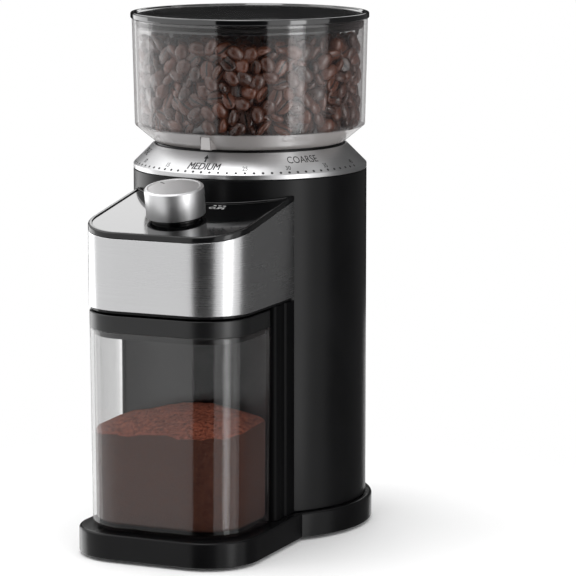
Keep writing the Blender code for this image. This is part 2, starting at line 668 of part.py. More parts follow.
def make_controls(axis, panel, panel_top: float) -> None:
    """The cup selector: its switch, its shaft and the knob that turns and is pressed."""
    knob_y = -HEAD_FRONT + KNOB_SET
    knob_z = panel_top + KNOB_SET * math.tan(HEAD_SLOPE)
    dial = empty("knob_axis", (0.0, knob_y, knob_z), axis, (HEAD_SLOPE, 0.0, 0.0))
    hole_r = KNOB_BOSS_R + 0.7 * MM
    cut(panel, rod("knob_hole", hole_r, -BASE_T, BASE_T, dial, None, ROUND_MID))
    tube("knob_collar", COLLAR_R, hole_r, GAP, COLLAR_H, ROUND_MID, dial, "satin_black")
    switch_top = -PANEL_T - 2 * GAP
    body = box("selector_switch", (-SWITCH_W / 2, -SWITCH_W / 2, switch_top - SWITCH_H),
               (SWITCH_W / 2, SWITCH_W / 2, switch_top), dial, "grey_plastic")
    cut(body, rod("selector_bore", SELECTOR_R + GAP, switch_top - SWITCH_H + 2.0 * MM, BASE_T, dial))
    knob_top = KNOB_LOW + KNOB_H
    under = knob_top - KNOB_TOP_T
    bore = SELECTOR_R + GAP
    bore_top = under - MM
    edge = 0.8 * MM
    profile = [(0.0, knob_top), (KNOB_R - edge, knob_top), (KNOB_R, knob_top - edge), (KNOB_R, KNOB_LOW),
               (KNOB_R - KNOB_WALL, KNOB_LOW), (KNOB_R - KNOB_WALL, under), (KNOB_BOSS_R, under),
               (KNOB_BOSS_R, KNOB_LOW + edge), (bore, KNOB_LOW + edge), (bore, bore_top), (0.0, bore_top)]
    turned("knob", profile, ROUND_MID + 8, dial, "aluminium", ring=False)
    shaft_low = switch_top - SWITCH_H + 3.0 * MM
    shaft_top = bore_top - 2.5 * MM
    soften(rod("selector_shaft", SELECTOR_R, shaft_low, shaft_top, dial, "grey_plastic"))


def make_chamber(axis) -> None:
    """The grinding chamber, its shaft seal, screws and the duct to the spout."""
    bore = BEARING_R
    wall_in = CHAMBER_R - CHAMBER_WALL
    sleeve_in = SLEEVE_R - SLEEVE_WALL
    chamber = turned("grinding_chamber",
                     [(SLEEVE_R, CHAMBER_TOP), (SLEEVE_R, SHELF_TOP - CHAMBER_WALL),
                      (CHAMBER_R, SHELF_TOP - CHAMBER_WALL), (CHAMBER_R, CHAMBER_LOW),
                      (bore, CHAMBER_LOW), (bore, CHAMBER_FLOOR), (wall_in, CHAMBER_FLOOR),
                      (wall_in, SHELF_TOP), (sleeve_in, SHELF_TOP), (sleeve_in, CHAMBER_TOP)],
                     ROUND_BIG, axis, "grey_plastic")
    cut(chamber, box("exit_way", (-EXIT_HALF_W, -CHAMBER_R - MM, EXIT_LOW),
                     (EXIT_HALF_W, -CHAMBER_R / 2, EXIT_LOW + EXIT_H), axis))
    tube("shaft_seal", bore - GAP, SHAFT_R + GAP, CHAMBER_LOW + GAP, CHAMBER_FLOOR - GAP,
         ROUND_SMALL + 4, axis, "rubber")
    screw_r = SLEEVE_R - SLEEVE_WALL / 2
    for index in range(3):
        turn = math.radians(90 + 120 * index)
        x = screw_r * math.cos(turn)
        y = screw_r * math.sin(turn)
        tap = rod(f"deck_tap_{index}", 1.3 * MM, CHAMBER_TOP - 8.0 * MM, COLUMN_TOP + MM, axis, None,
                  ROUND_SMALL, x, y)
        cut(chamber, tap)
        cut(bpy.data.objects["top_deck"], tap)
        screw_piece(f"deck_screw_{index + 1}", COLUMN_TOP + GAP + SCREW_HEAD_H, axis, x, y,
                    head_r=2.3 * MM, shank_r=1.0 * MM)
    make_chute(axis)


def make_chute(axis) -> None:
    """The duct from the chamber's exit forward and down to the spout over the bin."""
    start = -CHAMBER_R - GAP

    def ring(grow: float) -> list:
        """Cross sections of the duct: at the chamber, past the gearbox, at its bend and its mouth."""
        half = EXIT_HALF_W + grow
        front = -SPOUT_Y - SPOUT_HALF - grow
        rear = -SPOUT_Y + SPOUT_HALF + grow
        mouth = HEAD_FLOOR + 0.2 * MM
        bend_low = HEAD_FLOOR + 10.0 * MM - grow
        bend_high = HEAD_FLOOR + 16.0 * MM + grow
        level = -GEARBOX_R - 1.5 * MM
        pairs = [((start, EXIT_LOW - grow), (start, EXIT_LOW + EXIT_H + grow)),
                 ((level, EXIT_LOW - grow), (level, EXIT_LOW + EXIT_H + grow - CHUTE_FALL)),
                 ((rear, bend_low), (front, bend_high)), ((rear, mouth), (front, mouth))]
        return [[(-half, *low), (half, *low), (half, *high), (-half, *high)] for low, high in pairs]

    outer = ring(CHUTE_WALL)
    inner = ring(0.0)
    shape = bmesh.new()
    shells = [[[shape.verts.new(point) for point in section] for section in rings]
              for rings in (outer, inner)]
    for rings in shells:
        for here, after in zip(rings, rings[1:]):
            for i in range(4):
                j = (i + 1) % 4
                shape.faces.new((here[i], here[j], after[j], after[i]))
    for end in (0, -1):
        for i in range(4):
            j = (i + 1) % 4
            shape.faces.new((shells[0][end][i], shells[0][end][j], shells[1][end][j], shells[1][end][i]))
    bmesh.ops.triangulate(shape, faces=shape.faces)
    bmesh.ops.recalc_face_normals(shape, faces=shape.faces)
    mesh = bpy.data.meshes.new("grounds_chute")
    shape.to_mesh(mesh)
    shape.free()
    place_mesh("grounds_chute", mesh, axis, "grey_plastic")


def make_burrs(axis) -> None:
    """The turning cone burr on its shaft, and the ring burr in its lifting carrier."""
    bottom = GEARBOX_LOW + 1.6 * MM
    shaft_top = CONE_TOP + GAP + NUT_H
    step = CONE_TOP - 4.0 * MM
    thread_r = SHAFT_R - MM
    turned("drive_shaft", [(0.0, shaft_top), (thread_r, shaft_top), (thread_r, step), (SHAFT_R, step),
                           (SHAFT_R, bottom), (0.0, bottom)], ROUND_SMALL + 4, axis, "dark_steel", ring=False)
    impeller = rod("impeller", IMPELLER_R, IMPELLER_LOW, IMPELLER_LOW + IMPELLER_DISC, axis,
                   "white_plastic", ROUND_MID)
    top = IMPELLER_LOW + IMPELLER_H
    join(impeller, rod("impeller_hub", 12.0 * MM, IMPELLER_LOW + MM, top, axis, None, ROUND_MID))
    for index in range(2):
        paddle = box(f"paddle_{index}", (-IMPELLER_R + MM, -MM, IMPELLER_LOW + MM),
                     (IMPELLER_R - MM, MM, top - MM), axis)
        paddle.rotation_euler.z = math.radians(45 + 90 * index)
        join(impeller, paddle)
    cut(impeller, rod("impeller_bore", SHAFT_R + GAP, 0.0, COLUMN_TOP, axis, None, ROUND_SMALL + 4))
    make_cone(axis)
    nut = rod("burr_nut", NUT_R, CONE_TOP + GAP, CONE_TOP + GAP + NUT_H, axis, "brass", 6)
    cut(nut, rod("nut_bore", thread_r + GAP, 0.0, COLUMN_TOP * 2, axis))
    teeth = []
    for index in range(RING_BURR_TEETH):
        turn = 2 * math.pi * index / RING_BURR_TEETH
        after = turn + 2 * math.pi * 0.8 / RING_BURR_TEETH
        teeth.append((RING_BURR_BORE * math.cos(turn), RING_BURR_BORE * math.sin(turn)))
        root = RING_BURR_BORE + 1.2 * MM
        teeth.append((root * math.cos(after), root * math.sin(after)))
    ring_top = RING_BURR_LOW + RING_BURR_H
    plate("ring_burr", [circle(0, 0, RING_BURR_R, ROUND_MID), teeth], RING_BURR_LOW, ring_top, axis,
          "dark_steel")
    seat = RING_BURR_R + GAP
    lip = ring_top + GAP
    block = CHAMBER_R - CHAMBER_WALL - 2 * GAP
    flange_low = SHELF_TOP + 1.4 * MM
    flange_top = CHAMBER_TOP - 0.6 * MM
    thread_in = ADJUST_SLEEVE_R + 0.4 * MM
    funnel = lip + CARRIER_LIP
    turned("burr_carrier", [(CARRIER_FLANGE_R, flange_top), (CARRIER_FLANGE_R, flange_low),
                            (block, flange_low), (block, RING_BURR_LOW), (seat, RING_BURR_LOW),
                            (seat, lip), (seat - 2.5 * MM, lip), (seat - 2.5 * MM, funnel),
                            (thread_in, funnel + 4.0 * MM), (thread_in, flange_top)],
           ROUND_BIG, axis, "grey_plastic")


def make_cone(axis) -> None:
    """The fluted cone burr: star sections that twist as they rise."""
    levels = 6
    around = CONE_FLUTES * 8
    shape = bmesh.new()
    rows = []
    for level in range(levels):
        share = level / (levels - 1)
        mean = CONE_R + (CONE_TOP_R - CONE_R) * share
        depth = (0.4 + 2.0 * share) * MM
        row = []
        for index in range(around):
            turn = 2 * math.pi * index / around
            wave = (index % 8) / 8
            radius = mean - depth * wave
            angle = turn + math.radians(70) * share
            height = CONE_LOW + CONE_H * share
            row.append(shape.verts.new((radius * math.cos(angle), radius * math.sin(angle), height)))
        rows.append(row)
    for here, after in zip(rows, rows[1:]):
        for i in range(around):
            j = (i + 1) % around
            shape.faces.new((here[i], here[j], after[j], after[i]))
    shape.faces.new(rows[0][::-1])
    shape.faces.new(rows[-1])
    bmesh.ops.triangulate(shape, faces=shape.faces)
    bmesh.ops.recalc_face_normals(shape, faces=shape.faces)
    mesh = bpy.data.meshes.new("cone_burr")
    shape.to_mesh(mesh)
    shape.free()
    cone = place_mesh("cone_burr", mesh, axis, "dark_steel")
    cut(cone, rod("cone_bore", SHAFT_R + GAP, CONE_LOW - MM, CONE_TOP + MM, axis, None, ROUND_SMALL + 4))


def make_gearbox(axis) -> None:
    """The two-stage gear train in its housing between motor and burrs."""
    wall_in = GEARBOX_R - GEARBOX_WALL
    top = GEARBOX_LOW + GEARBOX_H
    floor = GEARBOX_LOW + GEARBOX_FLOOR
    housing = turned("gearbox_housing", [(0.0, floor), (wall_in, floor), (wall_in, top), (GEARBOX_R, top),
                                         (GEARBOX_R, GEARBOX_LOW), (0.0, GEARBOX_LOW)],
                     ROUND_BIG, axis, "grey_plastic", ring=False)
    pin_low = GEARBOX_LOW + 1.2 * MM
    cover_low = top + GAP
    cover = rod("gearbox_cover", GEARBOX_R, cover_low, GEARBOX_TOP, axis, "grey_plastic", ROUND_BIG)
    boss_low = cover_low - 2.4 * MM
    join(cover, rod("cover_boss", BEARING_R + 3.0 * MM, boss_low, cover_low + MM, axis, None, ROUND_MID))
    join(housing, rod("floor_boss", BEARING_R + 0.4 * MM, floor - MM, floor + 1.4 * MM, axis, None,
                      ROUND_MID))
    pocket_low = GEARBOX_LOW + MM
    bearing_r = BEARING_R - 1.0 * MM
    cut(housing, rod("low_pocket", bearing_r + GAP, pocket_low, top, axis, None, ROUND_MID),
        rod("pin_seat_low", IDLER_PIN_R + GAP, pin_low - GAP, top, axis, None, ROUND_SMALL, IDLER_X, IDLER_Y),
        rod("pinion_way", 7.0 * MM, GEARBOX_LOW - MM, floor + MM, axis, None, ROUND_MID, 0.0, MOTOR_Y))
    cut(cover, rod("top_pocket", BEARING_R + GAP, 0.0, GEARBOX_TOP + MM, axis, None, ROUND_MID),
        rod("pin_seat_top", IDLER_PIN_R + GAP, 0.0, GEARBOX_TOP - MM + GAP, axis, None, ROUND_SMALL,
            IDLER_X, IDLER_Y))
    tube("lower_bearing", bearing_r, SHAFT_R + GAP, pocket_low + GAP, pocket_low + 3.2 * MM,
         ROUND_SMALL + 4, axis, "steel")
    tube("upper_bearing", BEARING_R, SHAFT_R + GAP, GEARBOX_TOP - BEARING_H, GEARBOX_TOP - GAP,
         ROUND_SMALL + 4, axis, "steel")
    pin = rod("idler_pin", IDLER_PIN_R, pin_low, GEARBOX_TOP - MM, axis, "steel", ROUND_SMALL, IDLER_X,
              IDLER_Y)
    soften(pin)
    final_way = math.atan2(IDLER_Y, IDLER_X)
    bore = circle(0, 0, SHAFT_R + GAP, ROUND_SMALL)
    plate("final_gear", [gear_outline(FINAL_TEETH, final_way), bore], HIGH_GEAR_Z, HIGH_GEAR_TOP, axis,
          "dark_steel")
    idler_axis = empty("idler_axis", (IDLER_X, IDLER_Y, 0.0), axis)
    pinion_way = math.atan2(MOTOR_Y - IDLER_Y, -IDLER_X)
    idler = plate("idler_gear", [gear_outline(IDLER_BIG_TEETH, pinion_way)], LOW_GEAR_Z,
                  LOW_GEAR_Z + LOW_GEAR_H, idler_axis, "white_plastic")
    small_way = final_way + math.pi + math.pi / IDLER_SMALL_TEETH
    small = plate("idler_small_wheel", [gear_outline(IDLER_SMALL_TEETH, small_way)],
                  LOW_GEAR_Z + MM, HIGH_GEAR_TOP, idler_axis, None)
    join(idler, small)
    cut(idler, rod("idler_bore", IDLER_PIN_R + GAP, 0.0, COLUMN_TOP, idler_axis))
    make_motor(axis, pinion_way + math.pi + math.pi / PINION_TEETH)


def make_motor(axis, pinion_angle: float) -> None:
    """The motor under the gearbox: can, cap, magnets, armature, pinion and its soft mount."""
    motor = empty("motor_axis", (0.0, MOTOR_Y, 0.0), axis)
    can_in = MOTOR_R - MOTOR_WALL
    floor = MOTOR_LOW + MOTOR_WALL
    can = tube("motor_can", MOTOR_R, can_in, MOTOR_LOW, MOTOR_TOP, ROUND_MID + 8, motor, "dark_steel")
    join(can, tube("can_floor", can_in + MM, 6.0 * MM, MOTOR_LOW, floor, ROUND_MID + 8, motor, None))
    for index in range(2):
        slot = box(f"can_vent_{index}", (-MOTOR_R - MM, -6.0 * MM, MOTOR_LOW + 14.0 * MM),
                   (MOTOR_R + MM, 6.0 * MM, MOTOR_LOW + 22.0 * MM), motor)
        slot.rotation_euler.z = math.radians(45 + 90 * index)
        cut(can, slot)
    cap_r = can_in - GAP
    tube("motor_end_cap", cap_r, 5.5 * MM, MOTOR_TOP - MOTOR_CAP_T, MOTOR_TOP, ROUND_MID, motor,
         "grey_plastic")
    core_low = MOTOR_LOW + ARMATURE_END
    core_top = MOTOR_TOP - ARMATURE_END
    magnet_out = can_in - GAP
    for name, start in (("magnet_left", 120), ("magnet_right", -60)):
        outline = arc(0, 0, magnet_out, start, start + 120, 14) + arc(0, 0, MAGNET_R, start + 120, start, 14)
        plate(name, [outline], core_low, core_top, motor, "magnet")
    low = MOTOR_LOW + 0.6 * MM
    high = LOW_GEAR_Z + LOW_GEAR_H + 0.6 * MM
    commutator = core_top + 5.0 * MM
    turned("motor_armature", [(0.0, high), (MOTOR_SHAFT_R, high), (MOTOR_SHAFT_R, commutator + 8.0 * MM),
                              (9.0 * MM, commutator + 8.0 * MM), (9.0 * MM, commutator),
                              (16.0 * MM, commutator), (ARMATURE_R, core_top), (ARMATURE_R, core_low),
                              (16.0 * MM, core_low - 6.0 * MM), (MOTOR_SHAFT_R, core_low - 6.0 * MM),
                              (MOTOR_SHAFT_R, low), (0.0, low)], ROUND_MID, motor, "dark_steel", ring=False)
    fan = rod("cooling_fan", 26.0 * MM, floor + 2.0 * MM, floor + 4.0 * MM, motor, "white_plastic",
              ROUND_MID)
    for index in range(3):
        blade = box(f"blade_{index}", (-25.0 * MM, -0.8 * MM, floor + 3.0 * MM),
                    (25.0 * MM, 0.8 * MM, floor + 12.0 * MM), motor)
        blade.rotation_euler.z = math.radians(60 * index)
        join(fan, blade)
    cut(fan, rod("fan_bore", MOTOR_SHAFT_R + GAP, 0.0, COLUMN_TOP, motor))
    plate("motor_pinion", [gear_outline(PINION_TEETH, pinion_angle),
                           circle(0, 0, MOTOR_SHAFT_R + GAP, ROUND_SMALL)],
          LOW_GEAR_Z, LOW_GEAR_Z + LOW_GEAR_H, motor, "brass")
    cradle_in = MOTOR_R + 0.4 * MM
    cradle_out = cradle_in + CRADLE_WALL
    foot = BASE_TOP + DAMPER_H + 2 * GAP
    seat = MOTOR_LOW - GAP
    hole = BASE_VENT_R + 4.0 * MM
    turned("motor_cradle", [(cradle_out, seat + CRADLE_LIP), (cradle_out, foot), (hole, foot), (hole, seat),
                            (cradle_in, seat), (cradle_in, seat + CRADLE_LIP)], ROUND_MID, motor,
           "grey_plastic")
    tube("motor_damper", cradle_out - MM, hole + MM, BASE_TOP + GAP, BASE_TOP + GAP + DAMPER_H, ROUND_MID,
         motor, "rubber")


def make_electrics(axis) -> None:
    """The circuit board in its rib and the switch that feels the hopper."""
    low = BASE_TOP + MM + GAP
    board = box("circuit_board", (-BOARD_X - BOARD_T / 2, -BOARD_HALF_W + MM, low),
                (-BOARD_X + BOARD_T / 2, BOARD_HALF_W - MM, low + BOARD_H), axis, "board_green")
    face = -BOARD_X + BOARD_T / 2 - GAP
    relay_low, sink_low = low + 50.0 * MM, low + 18.0 * MM
    join(board,
         box("relay", (face, -12.0 * MM, relay_low), (face + 9.0 * MM, 2.0 * MM, relay_low + 16.0 * MM),
             axis),
         box("heat_sink", (face, -10.0 * MM, sink_low), (face + 8.0 * MM, 10.0 * MM, sink_low + 16.0 * MM),
             axis))
    top = DECK_LOW - GAP
    inner = COLUMN_R - COLUMN_WALL
    box("hopper_switch", (-10.0 * MM, inner - 14.0 * MM, top - 10.0 * MM), (10.0 * MM, inner - 7.0 * MM, top),
        axis, "grey_plastic")


def make_adjuster(axis) -> None:
    """The ring under the hopper that the hopper turns, and that lifts the burr carrier."""
    top = NECK_Z - RUN_GAP
    outer = SCALE_BORE - 2 * GAP
    cone_r = NECK_R - NECK_FLAT
    sleeve_in = ADJUST_SLEEVE_R - ADJUST_WALL
    low = COLUMN_TOP - ADJUST_DROP
    seat_z = top - (cone_r - sleeve_in) * FUNNEL_SLOPE
    wall_in = outer - 2.9 * MM
    under = seat_z - 0.3 * MM
    turned("adjust_ring", [(outer, top), (outer, COLUMN_TOP + GAP), (wall_in, COLUMN_TOP + GAP),
                           (wall_in, under + (wall_in - ADJUST_SLEEVE_R) * FUNNEL_SLOPE),
                           (ADJUST_SLEEVE_R, under), (ADJUST_SLEEVE_R, low), (sleeve_in, low),
                           (sleeve_in, seat_z), (cone_r + GAP, top)],
           ROUND_BIG, axis, "satin_black")


def make_hopper(axis) -> None:
    """The clear bean hopper and its lid with a gasket."""
    cone_r = NECK_R - NECK_FLAT
    throat_in = THROAT_R - HOPPER_WALL
    throat_low = COLUMN_TOP - ADJUST_DROP + 2.0 * MM
    wall_low = NECK_Z + HOPPER_CONE_H
    low_r = NECK_R + HOPPER_FLARE
    rim_r = low_r + HOPPER_DRAFT
    top = wall_low + HOPPER_WALL_H
    throat_z = NECK_Z - FUNNEL_DROP
    inner_z = throat_z + FUNNEL_WALL - HOPPER_WALL * FUNNEL_SLOPE
    knee_z = inner_z + (cone_r - throat_in) * FUNNEL_SLOPE
    inside_r = low_r - HOPPER_WALL
    inside_z = knee_z + (inside_r - cone_r) * CONE_SLOPE
    turned("hopper", [(rim_r, top), (low_r, wall_low), (NECK_R, NECK_Z), (cone_r, NECK_Z),
                      (THROAT_R, throat_z), (THROAT_R, throat_low), (throat_in, throat_low),
                      (throat_in, inner_z), (cone_r, knee_z), (inside_r, inside_z),
                      (rim_r - HOPPER_WALL, top)],
           ROUND_BIG, axis, "smoke")
    rim_low = top + GAP
    lid_top = rim_low + LID_H
    lid_r = rim_r + LID_RIM
    plate_top = lid_top - LID_RECESS
    plate_low = plate_top - LID_PLATE_T
    skirt_r = rim_r - HOPPER_WALL - 0.7 * MM
    skirt_low = rim_low - LID_SKIRT_H
    groove = skirt_r - GASKET_T + 0.2 * MM
    groove_low = skirt_low + 1.2 * MM
    groove_top = groove_low + GASKET_H + 2 * GAP
    ease = 0.6 * MM
    skirt_in = groove - 1.3 * MM
    turned("hopper_lid", [(0.0, plate_top), (lid_r - LID_RIM_W - ease, plate_top),
                          (lid_r - LID_RIM_W, lid_top), (lid_r - ease, lid_top),
                          (lid_r, lid_top - ease), (lid_r, rim_low), (skirt_r, rim_low),
                          (skirt_r, groove_top), (groove, groove_top),
                          (groove, groove_low), (skirt_r, groove_low), (skirt_r, skirt_low),
                          (skirt_in, skirt_low), (skirt_in, plate_low), (0.0, plate_low)],
           ROUND_BIG, axis, "gloss_black", ring=False)
    tube("lid_gasket", groove + GAP + GASKET_T, groove + GAP, groove_low + GAP, groove_top - GAP, ROUND_BIG,
         axis, "rubber")


def make_bin(axis) -> None:
    """The clear grounds bin and its lid with a filling hole under the spout."""
    bin_ = plate("grounds_bin", [bin_outline(0.0)], BIN_LOW, BIN_TOP, axis, "smoke")
    hollow = plate("bin_hollow", [bin_outline(BIN_WALL)], BIN_LOW + BIN_FLOOR, BIN_TOP + MM, axis, None)
    taper(bin_, BIN_LOW, BIN_TOP, BIN_DRAFT)
    taper(hollow, BIN_LOW + BIN_FLOOR, BIN_TOP + MM, BIN_DRAFT)
    cut(bin_, hollow)
    low = BIN_TOP + GAP
    lid = plate("bin_lid", [bin_outline(0.0)], low, BIN_LID_TOP, axis, "satin_black")
    plug_inset = BIN_WALL + 2 * GAP
    plug = plate("bin_plug", [bin_outline(plug_inset)], low - BIN_PLUG, low + MM, axis, None)
    space = plate("plug_space", [bin_outline(plug_inset + 2.0 * MM)], low - BIN_PLUG - MM,
                  BIN_LID_TOP - BIN_LID_T, axis, None)
    join(lid, plug)
    cut(lid, space, box("filling_hole", (-SPOUT_HALF, -SPOUT_Y - SPOUT_HALF, low),
                        (SPOUT_HALF, -SPOUT_Y + SPOUT_HALF, BIN_LID_TOP + MM), axis))


def main() -> None:
    """Build every sub-assembly on the burr axis."""
    axis = empty("burr_axis", (0.0, AXIS_Y, 0.0))
    make_base(axis)
    make_column(axis)
    make_head(axis)
    make_chamber(axis)
    make_burrs(axis)
    make_gearbox(axis)
    make_electrics(axis)
    make_adjuster(axis)
    make_hopper(axis)
    make_bin(axis)
    bpy.context.view_layer.update()


main()
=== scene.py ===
"""Looks of an upright burr coffee grinder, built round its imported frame.

Every sub-assembly is a class: its sizes are dataclass fields in metres, and its methods
compute surfaces on numpy grids and dress them in the finish of the real part. Plan
positions are worked out from the burr axis, with -Y to the front, and then moved to the
axis's place in the frame.
"""
import json
import logging
import math
from dataclasses import dataclass, field
from enum import Enum
from typing import Sequence

import bpy
import numpy as np
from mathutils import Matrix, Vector


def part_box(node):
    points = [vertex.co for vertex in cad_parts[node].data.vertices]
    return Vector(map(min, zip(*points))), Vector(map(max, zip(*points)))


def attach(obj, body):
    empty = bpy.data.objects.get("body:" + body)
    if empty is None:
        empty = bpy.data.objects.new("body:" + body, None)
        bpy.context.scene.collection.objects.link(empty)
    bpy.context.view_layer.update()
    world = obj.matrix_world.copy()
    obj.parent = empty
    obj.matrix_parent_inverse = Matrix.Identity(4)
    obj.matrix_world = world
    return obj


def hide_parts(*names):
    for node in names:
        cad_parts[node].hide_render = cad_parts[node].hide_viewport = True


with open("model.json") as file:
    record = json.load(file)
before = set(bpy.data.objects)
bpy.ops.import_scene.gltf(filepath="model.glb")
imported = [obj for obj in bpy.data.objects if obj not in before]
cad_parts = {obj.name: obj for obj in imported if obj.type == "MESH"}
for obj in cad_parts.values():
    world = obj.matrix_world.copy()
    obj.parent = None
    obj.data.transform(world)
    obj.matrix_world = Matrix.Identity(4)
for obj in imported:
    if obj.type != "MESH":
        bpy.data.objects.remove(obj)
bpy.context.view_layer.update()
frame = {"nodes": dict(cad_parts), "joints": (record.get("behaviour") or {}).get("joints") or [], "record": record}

LOG = logging.getLogger("grinder")
MM = 0.001
# Clearance between neighbouring mouldings, and the small radii that their edges have.
GAP = 0.3 * MM
EDGE_FINE = 0.3 * MM
EDGE_SMALL = 0.4 * MM
EDGE_SOFT = 0.5 * MM
EDGE_DEEP = 1.0 * MM


# ---------------------------------------------------------------- frame measures

def axis_y() -> float:
    """Return the burr axis's Y place: the middle of the column."""
    low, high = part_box("column_shell")
    return (low.y + high.y) / 2


AXIS_Y = axis_y()


def span(node: str) -> tuple[Vector, Vector]:
    """Return a node's lowest and highest corner, measured from the burr axis.

    Args:
        node: the CAD node's name.

    Returns:
        The two corners, with Y counted from the burr axis.
    """
    low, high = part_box(node)
    shift = Vector((0.0, AXIS_Y, 0.0))
    return low - shift, high - shift


# ---------------------------------------------------------------- colour and nodes

def linear(hex_colour: str) -> tuple[float, float, float, float]:
    """Turn an sRGB hex colour to linear RGBA.

    Each channel c is c / 12.92 up to 0.04045, and ((c + 0.055) / 1.055) ** 2.4 above.

    Args:
        hex_colour: six hex digits, with or without a hash.

    Returns:
        Linear red, green, blue and an alpha of 1.
    """
    digits = hex_colour.lstrip("#")
    channels = [int(digits[i:i + 2], 16) / 255 for i in (0, 2, 4)]
    red, green, blue = (c / 12.92 if c <= 0.04045 else ((c + 0.055) / 1.055) ** 2.4 for c in channels)
    return red, green, blue, 1.0


def add_node(tree: bpy.types.NodeTree, kind: str, settings: dict | None = None,
             links: dict | None = None) -> bpy.types.Node:
    """Add a node with its settings and incoming links.

    Args:
        tree: the node tree.
        kind: the node's type name.
        settings: attribute names, or input names or numbers, with their values.
        links: input names or numbers with the output sockets that feed them.

    Returns:
        The new node.
    """
    node = tree.nodes.new(kind)
    for key, value in (settings or {}).items():
        if isinstance(key, str) and hasattr(node, key):
            setattr(node, key, value)
        else:
            node.inputs[key].default_value = value
    for key, source in (links or {}).items():
        tree.links.new(source, node.inputs[key])
    return node


def new_material(name: str) -> tuple[bpy.types.Material, bpy.types.NodeTree, bpy.types.Node]:
    """Return a fresh material, its tree and its Principled shader, linked to the output."""
    material = bpy.data.materials.new(name)
    material.use_nodes = True
    tree = material.node_tree
    tree.nodes.clear()
    shader = add_node(tree, "ShaderNodeBsdfPrincipled")
    add_node(tree, "ShaderNodeOutputMaterial", links={"Surface": shader.outputs[0]})
    return material, tree, shader


def object_noise(tree: bpy.types.NodeTree, size_mm: Sequence[float], detail: float = 2.0,
                 centre: Sequence[float] = (0.0, 0.0, 0.0)) -> bpy.types.NodeSocket:
    """Add noise on Object coordinates whose blotches have a size in millimetres along X, Y and Z.

    Args:
        tree: the node tree.
        size_mm: the blotch size along each axis.
        detail: the noise's detail.
        centre: where the pattern is centred, in metres.

    Returns:
        The noise's factor output.
    """
    place = add_node(tree, "ShaderNodeTexCoord")
    scale = tuple(1.0 / (size * MM) for size in size_mm)
    shift = tuple(-c * s for c, s in zip(centre, scale))
    mapped = add_node(tree, "ShaderNodeMapping", {"Location": shift, "Scale": scale},
                      {"Vector": place.outputs["Object"]})
    noise = add_node(tree, "ShaderNodeTexNoise", {"Scale": 1.0, "Detail": detail, "Roughness": 0.55},
                     {"Vector": mapped.outputs[0]})
    return noise.outputs[0]


def spread(tree: bpy.types.NodeTree, source: bpy.types.NodeSocket, low: float, high: float,
           from_low: float = 0.3, from_high: float = 0.7) -> bpy.types.NodeSocket:
    """Stretch a factor to the range low to high.

    Args:
        tree: the node tree.
        source: the factor.
        low: the value at from_low.
        high: the value at from_high.
        from_low: the factor that gives low.
        from_high: the factor that gives high.

    Returns:
        The stretched value's socket.
    """
    node = add_node(tree, "ShaderNodeMapRange", {1: from_low, 2: from_high, 3: low, 4: high}, {0: source})
    return node.outputs[0]


def two_tone(tree: bpy.types.NodeTree, source: bpy.types.NodeSocket, dark: str, light: str,
             low: float = 0.35, high: float = 0.65) -> bpy.types.NodeSocket:
    """Blend two hex colours by a factor, from low to high, and return the colour socket."""
    ramp = add_node(tree, "ShaderNodeValToRGB", links={0: source})
    first, last = ramp.color_ramp.elements
    first.position, first.color = low, linear(dark)
    last.position, last.color = high, linear(light)
    return ramp.outputs[0]


def bump(tree: bpy.types.NodeTree, shader: bpy.types.Node, source: bpy.types.NodeSocket,
         height_mm: float, strength: float = 1.0) -> None:
    """Feed a height pattern of a real depth in millimetres to a shader's normal."""
    node = add_node(tree, "ShaderNodeBump", {"Strength": strength, "Distance": height_mm * MM},
                    {"Height": source})
    tree.links.new(node.outputs[0], shader.inputs["Normal"])


# ---------------------------------------------------------------- finishes

class Brushing(Enum):
    """Which way a metal's fine lines run."""

    LEVEL = "level"
    TURNED = "turned"


@dataclass(frozen=True)
class MouldedPlastic:
    """Injection-moulded ABS: the tool's spark texture breaks its gloss into a soft satin."""

    name: str
    slot: str
    dark: str
    light: str
    rough_low: float
    rough_high: float
    grain_mm: float = 0.5
    depth_mm: float = 0.010
    ior: float = 1.53
    sheen_level: float = 0.15

    def build(self) -> bpy.types.Material:
        """Return the material."""
        material, tree, shader = new_material(self.name)
        grain = object_noise(tree, (self.grain_mm,) * 3, 3.0)
        patch = object_noise(tree, (38.0, 38.0, 52.0), 3.0)
        tree.links.new(two_tone(tree, patch, self.dark, self.light), shader.inputs["Base Color"])
        tree.links.new(spread(tree, patch, self.rough_low, self.rough_high), shader.inputs["Roughness"])
        shader.inputs["IOR"].default_value = self.ior
        shader.inputs["Specular IOR Level"].default_value = self.sheen_level
        bump(tree, shader, grain, self.depth_mm)
        return material


